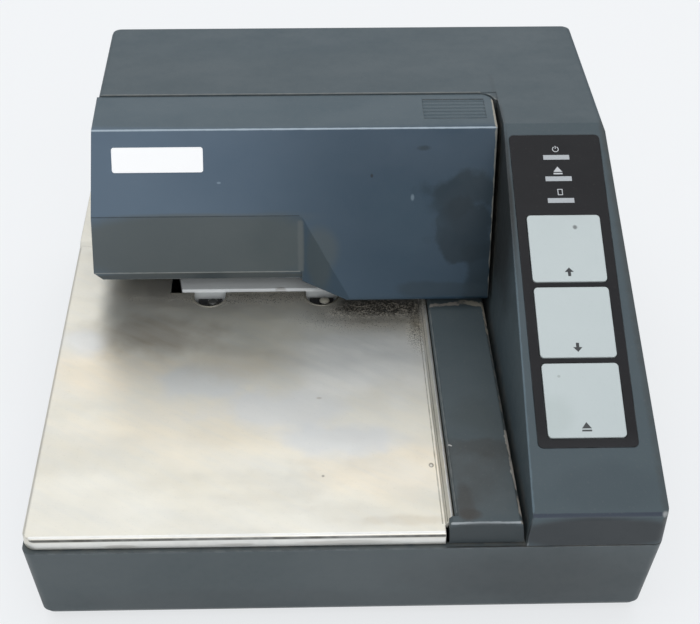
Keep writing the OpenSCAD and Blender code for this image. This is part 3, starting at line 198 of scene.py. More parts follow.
class EffectShop:
    """Builds the shared effects and places them in materials."""

    @staticmethod
    def start(effect: Effect, inputs: dict[str, object], outputs: dict[str, str]) -> tuple:
        """Makes an empty group with its sockets.

        Args:
            effect: Which effect.
            inputs: Default value of each input by name.
            outputs: Socket type of each output by name.
        Returns:
            The bench, the group's input node and its output node.
        """
        tree = bpy.data.node_groups.new(effect.value, "ShaderNodeTree")
        kinds = {float: "NodeSocketFloat", tuple: "NodeSocketVector", list: "NodeSocketColor"}
        for name, value in inputs.items():
            socket = tree.interface.new_socket(name, in_out="INPUT", socket_type=kinds[type(value)])
            socket.default_value = value
        for name, kind in outputs.items():
            tree.interface.new_socket(name, in_out="OUTPUT", socket_type="NodeSocket" + kind)
        return NodeBench(tree), tree.nodes.new("NodeGroupInput"), tree.nodes.new("NodeGroupOutput")

    @classmethod
    @functools.cache
    def group(cls, effect: Effect) -> bpy.types.NodeTree:
        """Builds an effect's group on first use.

        Args:
            effect: Which effect.
        Returns:
            Its node group.
        """
        return getattr(cls, effect.value)()

    @classmethod
    def place(cls, bench: NodeBench, effect: Effect, **inputs: object) -> bpy.types.Node:
        """Places an effect in a material.

        Args:
            bench: The material's bench.
            effect: Which effect.
            inputs: Input values by name, with _ for a space.
        Returns:
            The group node.
        """
        node = bench.add("Group", node_tree=cls.group(effect))
        for name, value in inputs.items():
            bench.feed(node.inputs[name.replace("_", " ")], value)
        return node

    @classmethod
    def edge_wear(cls) -> bpy.types.NodeTree:
        """Builds the mask of rubbed outer edges and the softened normal.

        Returns:
            The group.
        """
        sockets = {"Mask": "Float", "Normal": "Vector"}
        bench, given, out = cls.start(Effect.EDGE_WEAR, {"Radius": 0.0006, "Amount": 0.5}, sockets)
        soft = bench.add("Bevel", {"Radius": given.outputs["Radius"]}, samples=4).outputs[0]
        flat = bench.add("NewGeometry").outputs["Normal"]
        turn = bench.vector("DOT_PRODUCT", soft, flat)
        edge = bench.ease(turn, 0.995, 0.86)
        open_side = bench.add("AmbientOcclusion", {"Distance": 0.003}, samples=4, only_local=True)
        outer = bench.ease(open_side.outputs["AO"], 0.55, 0.9)
        broken = bench.ease(bench.noise(210.0, 4.0), 0.38, 0.62)
        mask = bench.maths("MULTIPLY", bench.maths("MULTIPLY", edge, outer), broken)
        mask = bench.maths("MULTIPLY", mask, given.outputs["Amount"])
        bench.feed(out.inputs["Mask"], mask)
        bench.feed(out.inputs["Normal"], soft)
        return bench.tree

    @classmethod
    def settled_dust(cls) -> bpy.types.NodeTree:
        """Builds the mask of dust in corners and on upper faces.

        Returns:
            The group.
        """
        inputs = {"Amount": 0.4, "Reach": 0.004}
        bench, given, out = cls.start(Effect.SETTLED_DUST, inputs, {"Mask": "Float"})
        shade = bench.add("AmbientOcclusion", {"Distance": given.outputs["Reach"]}, samples=4)
        corner = bench.ease(shade.outputs["AO"], 0.72, 0.28)
        normal = bench.add("NewGeometry").outputs["Normal"]
        upward = bench.ease(bench.add("SeparateXYZ", {0: normal}).outputs[2], 0.55, 1.0)
        flecks = bench.ease(bench.noise(1400.0, 2.0), 0.60, 0.76)
        lying = bench.maths("MULTIPLY", bench.maths("MULTIPLY", upward, flecks), 0.30)
        patchy = bench.ease(bench.noise(260.0, 4.0), 0.30, 0.65)
        mask = bench.maths("ADD", bench.maths("MULTIPLY", corner, patchy), lying)
        bench.feed(out.inputs["Mask"], bench.maths("MULTIPLY", mask, given.outputs["Amount"]))
        return bench.tree

    @classmethod
    def mould_grain(cls) -> bpy.types.NodeTree:
        """Builds the spark-eroded grain of moulded plastic.

        Returns:
            The group.
        """
        bench, given, out = cls.start(Effect.MOULD_GRAIN, {"Scale": 2600.0}, {"Height": "Float"})
        place = bench.own_place()
        inputs = {"Vector": place, "Scale": given.outputs["Scale"], "Detail": 2.0, "Roughness": 0.6}
        fine = bench.add("TexNoise", inputs).outputs[0]
        cells = bench.add("TexVoronoi", {"Vector": place, "Scale": given.outputs["Scale"]}).outputs[0]
        height = bench.maths("MULTIPLY_ADD", cells, 0.45, bench.maths("MULTIPLY", fine, 0.55))
        bench.feed(out.inputs["Height"], height)
        return bench.tree

    @classmethod
    def tone_patches(cls) -> bpy.types.NodeTree:
        """Builds a colour that drifts slightly over the surface.

        Returns:
            The group.
        """
        inputs = {"Colour": [0.5, 0.5, 0.5, 1.0], "Other": [0.4, 0.4, 0.4, 1.0], "Spread": 0.5}
        bench, given, out = cls.start(Effect.TONE_PATCHES, inputs, {"Colour": "Color"})
        broad = bench.ease(bench.noise(17.0, 3.0), 0.30, 0.70)
        small = bench.ease(bench.noise(150.0, 4.0), 0.25, 0.80)
        drift = bench.maths("MULTIPLY_ADD", small, 0.35, bench.maths("MULTIPLY", broad, 0.65))
        share = bench.maths("MULTIPLY", drift, given.outputs["Spread"])
        mixed = bench.mix(share, given.outputs["Colour"], given.outputs["Other"])
        bench.feed(out.inputs["Colour"], mixed)
        return bench.tree

    @classmethod
    def smears(cls) -> bpy.types.NodeTree:
        """Builds a roughness with wiped and handled patches.

        Returns:
            The group.
        """
        inputs = {"Low": 0.4, "High": 0.6}
        bench, given, out = cls.start(Effect.SMEARS, inputs, {"Roughness": "Float"})
        wiped = bench.ease(bench.noise(38.0, 5.0, (1.0, 2.4, 1.6)), 0.30, 0.70)
        spots = bench.ease(bench.noise(420.0, 3.0), 0.40, 0.75)
        share = bench.maths("MULTIPLY_ADD", spots, 0.3, bench.maths("MULTIPLY", wiped, 0.7))
        inputs = {"Value": share, "To Min": given.outputs["Low"], "To Max": given.outputs["High"]}
        bench.feed(out.inputs["Roughness"], bench.add("MapRange", inputs).outputs[0])
        return bench.tree

    @classmethod
    def stain_and_painted_light(cls) -> bpy.types.NodeTree:
        """Builds a soft-edged patch round a place.

        Returns:
            The group.
        """
        inputs = {"Centre": (0.0, 0.0, 0.0), "Half size": (0.02, 0.02, 0.02)}
        inputs |= {"Raggedness": 0.6, "Softness": 0.4}
        bench, given, out = cls.start(Effect.STAIN_AND_PAINTED_LIGHT, inputs, {"Mask": "Float"})
        place = bench.own_place()
        off = bench.vector("SUBTRACT", place, given.outputs["Centre"])
        far = bench.vector("LENGTH", bench.vector("DIVIDE", off, given.outputs["Half size"]))
        rag = bench.maths("SUBTRACT", bench.noise(70.0, 5.0), 0.5)
        edge = bench.plain("MULTIPLY_ADD", rag, given.outputs["Raggedness"], far)
        outside = bench.plain("ADD", 1.0, given.outputs["Softness"])
        inside = bench.maths("SUBTRACT", 1.0, given.outputs["Softness"])
        bench.feed(out.inputs["Mask"], bench.ease(edge, outside, inside))
        return bench.tree

    @classmethod
    def mark_and_painted_light_line(cls) -> bpy.types.NodeTree:
        """Builds a narrow line from one place to another, broken in places by noise; it serves for worn and
        dusty lines and for painted highlights and shade.

        Returns:
            The group.
        """
        inputs = {"Start": (0.0, 0.0, 0.0), "End": (0.1, 0.0, 0.0), "Width": 0.0005, "Breaks": 0.4}
        bench, given, out = cls.start(Effect.MARK_AND_PAINTED_LIGHT_LINE, inputs, {"Mask": "Float"})
        start, width, breaks = (given.outputs[name] for name in ("Start", "Width", "Breaks"))
        along = bench.vector("SUBTRACT", given.outputs["End"], start)
        reach = bench.vector("SUBTRACT", bench.own_place(), start)
        length = bench.vector("DOT_PRODUCT", along, along)
        part = bench.plain("DIVIDE", bench.vector("DOT_PRODUCT", reach, along), length)
        part.node.use_clamp = True
        foot = bench.add("VectorMath", {0: along, "Scale": part}, operation="SCALE").outputs[0]
        off = bench.vector("LENGTH", bench.vector("SUBTRACT", reach, foot))
        inputs = {"Value": bench.noise(380.0, 5.0), "To Min": -1.6, "To Max": 1.6}
        sway = bench.plain("MULTIPLY", bench.add("MapRange", inputs).outputs[0], breaks)
        near = bench.plain("MULTIPLY_ADD", sway, width, off)
        line = bench.ease(near, width, bench.plain("MULTIPLY", width, 0.45))
        low = bench.plain("MULTIPLY_ADD", breaks, 0.6, -0.18)
        high = bench.plain("ADD", low, 0.2)
        kept = bench.ease(bench.noise(240.0, 6.0), low, high)
        bench.feed(out.inputs["Mask"], bench.maths("MULTIPLY", line, kept))
        return bench.tree

    @classmethod
    def rolled_lines(cls) -> bpy.types.NodeTree:
        """Builds the faint drawn lines of rolled sheet metal.

        Returns:
            The group.
        """
        bench, _, out = cls.start(Effect.ROLLED_LINES, {}, {"Lines": "Float"})
        fine = bench.noise(60.0, 3.0, (1.0, 42.0, 42.0))
        broad = bench.noise(14.0, 2.0, (1.0, 16.0, 16.0))
        lines = bench.maths("MULTIPLY_ADD", fine, 0.6, bench.maths("MULTIPLY", broad, 0.4))
        bench.feed(out.inputs["Lines"], lines)
        return bench.tree

    @classmethod
    def wiped_streaks(cls) -> bpy.types.NodeTree:
        """Builds the streaks that a cloth leaves when sheet metal is wiped by hand.

        Returns:
            The group.
        """
        bench, given, out = cls.start(Effect.WIPED_STREAKS, {"Amount": 0.5}, {"Mask": "Float"})
        broad = bench.ease(bench.noise(26.0, 4.0, (1.0, 2.6, 1.0), 24.0), 0.36, 0.66)
        fine = bench.ease(bench.noise(60.0, 5.0, (1.0, 7.0, 1.0), 33.0), 0.35, 0.70)
        streak = bench.maths("MULTIPLY_ADD", fine, 0.45, bench.maths("MULTIPLY", broad, 0.55))
        bench.feed(out.inputs["Mask"], bench.maths("MULTIPLY", streak, given.outputs["Amount"]))
        return bench.tree

    @classmethod
    def specks(cls) -> bpy.types.NodeTree:
        """Builds crumbs and grit scattered with a given size.

        Returns:
            The group.
        """
        inputs = {"Scale": 2300.0, "Share": 0.3}
        bench, given, out = cls.start(Effect.SPECKS, inputs, {"Mask": "Float"})
        place = bench.own_place()
        inputs = {"Vector": place, "Scale": given.outputs["Scale"], "Detail": 2.0}
        lumps = bench.add("TexNoise", inputs).outputs[0]
        low = bench.plain("MULTIPLY_ADD", given.outputs["Share"], -0.22, 0.70)
        high = bench.plain("ADD", low, 0.04)
        bench.feed(out.inputs["Mask"], bench.ease(lumps, low, high))
        return bench.tree


@dataclass(frozen=True)
class StainAndPaintedLight:
    """A patch of another colour on a surface, placed in case millimetres; it serves for stains and tones and
    for painted light, shade and reflections.
    """

    centre: Point
    half_size: Point
    colour: Colour
    strength: float
    raggedness: float
    softness: float = 0.4

    def mask(self, bench: NodeBench) -> bpy.types.NodeSocket:
        """Places the patch in a material.

        Args:
            bench: The material's bench.
        Returns:
            Its mask, before the strength.
        """
        patch = EffectShop.place(
            bench,
            Effect.STAIN_AND_PAINTED_LIGHT,
            Centre=tuple(at_case(*self.centre)),
            Half_size=tuple(half * MM for half in self.half_size),
            Raggedness=self.raggedness,
            Softness=self.softness,
        )
        return patch.outputs[0]


@dataclass(frozen=True)
class MarkAndPaintedLightLine:
    """A narrow line along an edge, placed in case millimetres; it serves for worn, dusty and dark lines and
    for painted highlights, shade and reflections.
    """

    start: Point
    end: Point
    width: float
    colour: Colour
    strength: float
    breaks: float

    def mask(self, bench: NodeBench) -> bpy.types.NodeSocket:
        """Places the line in a material.

        Args:
            bench: The material's bench.
        Returns:
            Its mask, before the strength.
        """
        line = EffectShop.place(
            bench,
            Effect.MARK_AND_PAINTED_LIGHT_LINE,
            Start=tuple(at_case(*self.start)),
            End=tuple(at_case(*self.end)),
            Width=self.width * MM,
            Breaks=self.breaks,
        )
        return line.outputs[0]


@dataclass(frozen=True)
class Finish:
    """What every finish shares: its name, colours and roughness."""

    name: str
    colour: Colour
    other: Colour
    rough: tuple[float, float]
    spread: float = 0.6
    stains_and_painted_light: tuple[StainAndPaintedLight | MarkAndPaintedLightLine, ...] = ()

    def begin(self) -> tuple[bpy.types.Material, NodeBench, bpy.types.Node]:
        """Makes the material with its Principled shader.

        Returns:
            The material, its bench and the shader node.
        """
        material = bpy.data.materials.new(self.name)
        material.use_nodes = True
        bench = NodeBench(material.node_tree)
        shader = material.node_tree.nodes["Principled BSDF"]
        smear = EffectShop.place(bench, Effect.SMEARS, Low=self.rough[0], High=self.rough[1])
        bench.feed(shader.inputs["Roughness"], smear.outputs[0])
        return material, bench, shader

    @staticmethod
    def emboss(bench: NodeBench, shader: bpy.types.Node, **bump: object) -> None:
        """Feeds a Bump node with the given inputs into the shader's normal."""
        bench.feed(shader.inputs["Normal"], bench.add("Bump", bump).outputs[0])

    def toned(self, bench: NodeBench) -> bpy.types.NodeSocket:
        """Adds the drifting colour, the stains and the painted light.

        Args:
            bench: The material's bench.
        Returns:
            The colour.
        """
        first, second = (*self.colour, 1.0), (*self.other, 1.0)
        patches = EffectShop.place(bench, Effect.TONE_PATCHES, Colour=first, Other=second, Spread=self.spread)
        colour = patches.outputs[0]
        for mark in self.stains_and_painted_light:
            share = bench.maths("MULTIPLY", mark.mask(bench), mark.strength)
            colour = bench.mix(share, colour, (*mark.colour, 1.0))
        return colour


@dataclass(frozen=True)
class MouldedPlastic(Finish):
    """Grained moulded plastic with rubbed edges, dust in its corners and an optional painted glow."""

    grain: float = 0.00002
    grain_scale: float = 2600.0
    round_edge: float = 0.0005
    wear: float = 0.45
    wear_colour: Colour = (0.19, 0.215, 0.235)
    dust: float = 0.35
    dust_colour: Colour = (0.30, 0.27, 0.22)
    dust_reach: float = 0.0035
    specular: float = 0.38
    painted_glow: float = 0.0
    glow_colour: Colour = (0.97, 0.98, 1.0)

    @functools.cache
    def material(self) -> bpy.types.Material:
        """Builds the material.

        Returns:
            The material.
        """
        material, bench, shader = self.begin()
        edges = EffectShop.place(bench, Effect.EDGE_WEAR, Radius=self.round_edge, Amount=self.wear)
        dust = EffectShop.place(bench, Effect.SETTLED_DUST, Amount=self.dust, Reach=self.dust_reach)
        colour = bench.mix(edges.outputs["Mask"], self.toned(bench), (*self.wear_colour, 1.0))
        colour = bench.mix(dust.outputs["Mask"], colour, (*self.dust_colour, 1.0))
        bench.feed(shader.inputs["Base Color"], colour)
        shader.inputs["Specular IOR Level"].default_value = self.specular
        # The emission is a painted glow: it brightens the part though the part is no lamp.
        shader.inputs["Emission Color"].default_value = (*self.glow_colour, 1.0)
        shader.inputs["Emission Strength"].default_value = self.painted_glow
        grain = EffectShop.place(bench, Effect.MOULD_GRAIN, Scale=self.grain_scale)
        height, normal = grain.outputs[0], edges.outputs["Normal"]
        self.emboss(bench, shader, Height=height, Normal=normal, Distance=self.grain)
        return material


@dataclass(frozen=True)
class RolledMetal(Finish):
    """Rolled, drawn or plated metal with faint lines."""

    line_depth: float = 0.000004
    round_edge: float = 0.0004
    edge_colour: Colour = (0.9, 0.9, 0.88)
    wear: float = 0.5
    grit: tuple[StainAndPaintedLight, ...] = ()
    dust: float = 0.25
    dust_colour: Colour = (0.20, 0.18, 0.15)
    dust_reach: float = 0.0025
    crumb_colour: Colour = (0.40, 0.37, 0.31)
    crumb_scale: float = 2900.0
    metal: float = 1.0
    streaks: float = 0.25
    streak_shade: float = 0.72
    wiped: float = 0.15
    wiped_colour: Colour = (0.60, 0.61, 0.62)

    @functools.cache
    def material(self) -> bpy.types.Material:
        """Builds the material.

        Returns:
            The material.
        """
        material, bench, shader = self.begin()
        edges = EffectShop.place(bench, Effect.EDGE_WEAR, Radius=self.round_edge, Amount=self.wear)
        lines = EffectShop.place(bench, Effect.ROLLED_LINES).outputs[0]
        dust = EffectShop.place(bench, Effect.SETTLED_DUST, Amount=self.dust, Reach=self.dust_reach)
        colour = bench.mix(edges.outputs["Mask"], self.toned(bench), (*self.edge_colour, 1.0))
        cover = dust.outputs["Mask"]
        for patch in self.grit:
            crumbs = EffectShop.place(bench, Effect.SPECKS, Scale=self.crumb_scale, Share=patch.strength)
            lying = bench.maths("MULTIPLY", patch.mask(bench), crumbs.outputs[0])
            cover = bench.maths("ADD", cover, lying)
        streaks = bench.maths("MULTIPLY", lines, self.streaks)
        colour = bench.mix(streaks, colour, (*(c * self.streak_shade for c in self.other), 1.0))
        wiped = EffectShop.place(bench, Effect.WIPED_STREAKS, Amount=self.wiped)
        colour = bench.mix(wiped.outputs[0], colour, (*self.wiped_colour, 1.0))
        pale = bench.ease(bench.noise(1700.0, 1.0), 0.50, 0.58)
        crumb = bench.mix(pale, (*self.dust_colour, 1.0), (*self.crumb_colour, 1.0))
        bench.feed(shader.inputs["Base Color"], bench.mix(cover, colour, crumb))
        bench.feed(shader.inputs["Metallic"], bench.maths("SUBTRACT", self.metal, cover))
        normal = edges.outputs["Normal"]
        self.emboss(bench, shader, Height=lines, Normal=normal, Distance=self.line_depth)
        return material


@dataclass(frozen=True)
class Rubber(Finish):
    """Matt rubber with a ground surface."""

    grain: float = 0.00006
    grain_scale: float = 3800.0
    dust: float = 0.4
    dust_colour: Colour = (0.2, 0.19, 0.17)
    dust_reach: float = 0.002
    specular: float = 0.3

    @functools.cache
    def material(self) -> bpy.types.Material:
        """Builds the material.

        Returns:
            The material.
        """
        material, bench, shader = self.begin()
        dust = EffectShop.place(bench, Effect.SETTLED_DUST, Amount=self.dust, Reach=self.dust_reach)
        colour = bench.mix(dust.outputs[0], self.toned(bench), (*self.dust_colour, 1.0))
        bench.feed(shader.inputs["Base Color"], colour)
        grain = EffectShop.place(bench, Effect.MOULD_GRAIN, Scale=self.grain_scale)
        self.emboss(bench, shader, Height=grain.outputs[0], Distance=self.grain)
        shader.inputs["Specular IOR Level"].default_value = self.specular
        return material


@dataclass(frozen=True)
class PrintedBoard(Finish):
    """Lacquered circuit board with copper tracks under the lacquer."""

    track_scale: float = 330.0
    track_height: float = 0.00003
    track_share: float = 0.45
    track_colour: Colour = (0.10, 0.26, 0.11)
    lacquer: float = 0.4

    @functools.cache
    def material(self) -> bpy.types.Material:
        """Builds the material.

        Returns:
            The material.
        """
        material, bench, shader = self.begin()
        inputs = {"Vector": bench.own_place(), "Scale": self.track_scale}
        cells = bench.add("TexVoronoi", inputs, distance="CHEBYCHEV", feature="F1")
        tracks = bench.ease(cells.outputs["Distance"], 0.36, 0.42)
        share = bench.maths("MULTIPLY", tracks, self.track_share)
        copper = bench.mix(share, self.toned(bench), (*self.track_colour, 1.0))
        bench.feed(shader.inputs["Base Color"], copper)
        self.emboss(bench, shader, Height=tracks, Distance=self.track_height)
        shader.inputs["Coat Weight"].default_value = self.lacquer
        return material


@dataclass(frozen=True)
class WovenRibbon(Finish):
    """Inked fabric with a fine plain weave."""

    thread_scale: float = 900.0
    thread_height: float = 0.00008
    thread_colour: Colour = (0.05, 0.045, 0.07)

    @functools.cache
    def material(self) -> bpy.types.Material:
        """Builds the material.

        Returns:
            The material.
        """
        material, bench, shader = self.begin()
        inputs = {"Vector": bench.own_place(), "Scale": self.thread_scale}
        warp, weft = (bench.add("TexWave", inputs, bands_direction=way).outputs[1] for way in "XY")
        weave = bench.maths("MULTIPLY", warp, weft)
        colour = bench.mix(weave, self.toned(bench), (*self.thread_colour, 1.0))
        bench.feed(shader.inputs["Base Color"], colour)
        self.emboss(bench, shader, Height=weave, Distance=self.thread_height)
        return material


@dataclass(frozen=True)
class PrintInk(Finish):
    """Screen-printed ink with thin spots."""

    thin_share: float = 0.3

    @functools.cache
    def material(self) -> bpy.types.Material:
        """Builds the material.

        Returns:
            The material.
        """
        material, bench, shader = self.begin()
        spots = bench.ease(bench.noise(1500.0, 2.0), 0.62, 0.80)
        thin = bench.maths("MULTIPLY", spots, self.thin_share)
        bench.feed(shader.inputs["Base Color"], bench.mix(thin, self.toned(bench), (*self.other, 1.0)))
        return material


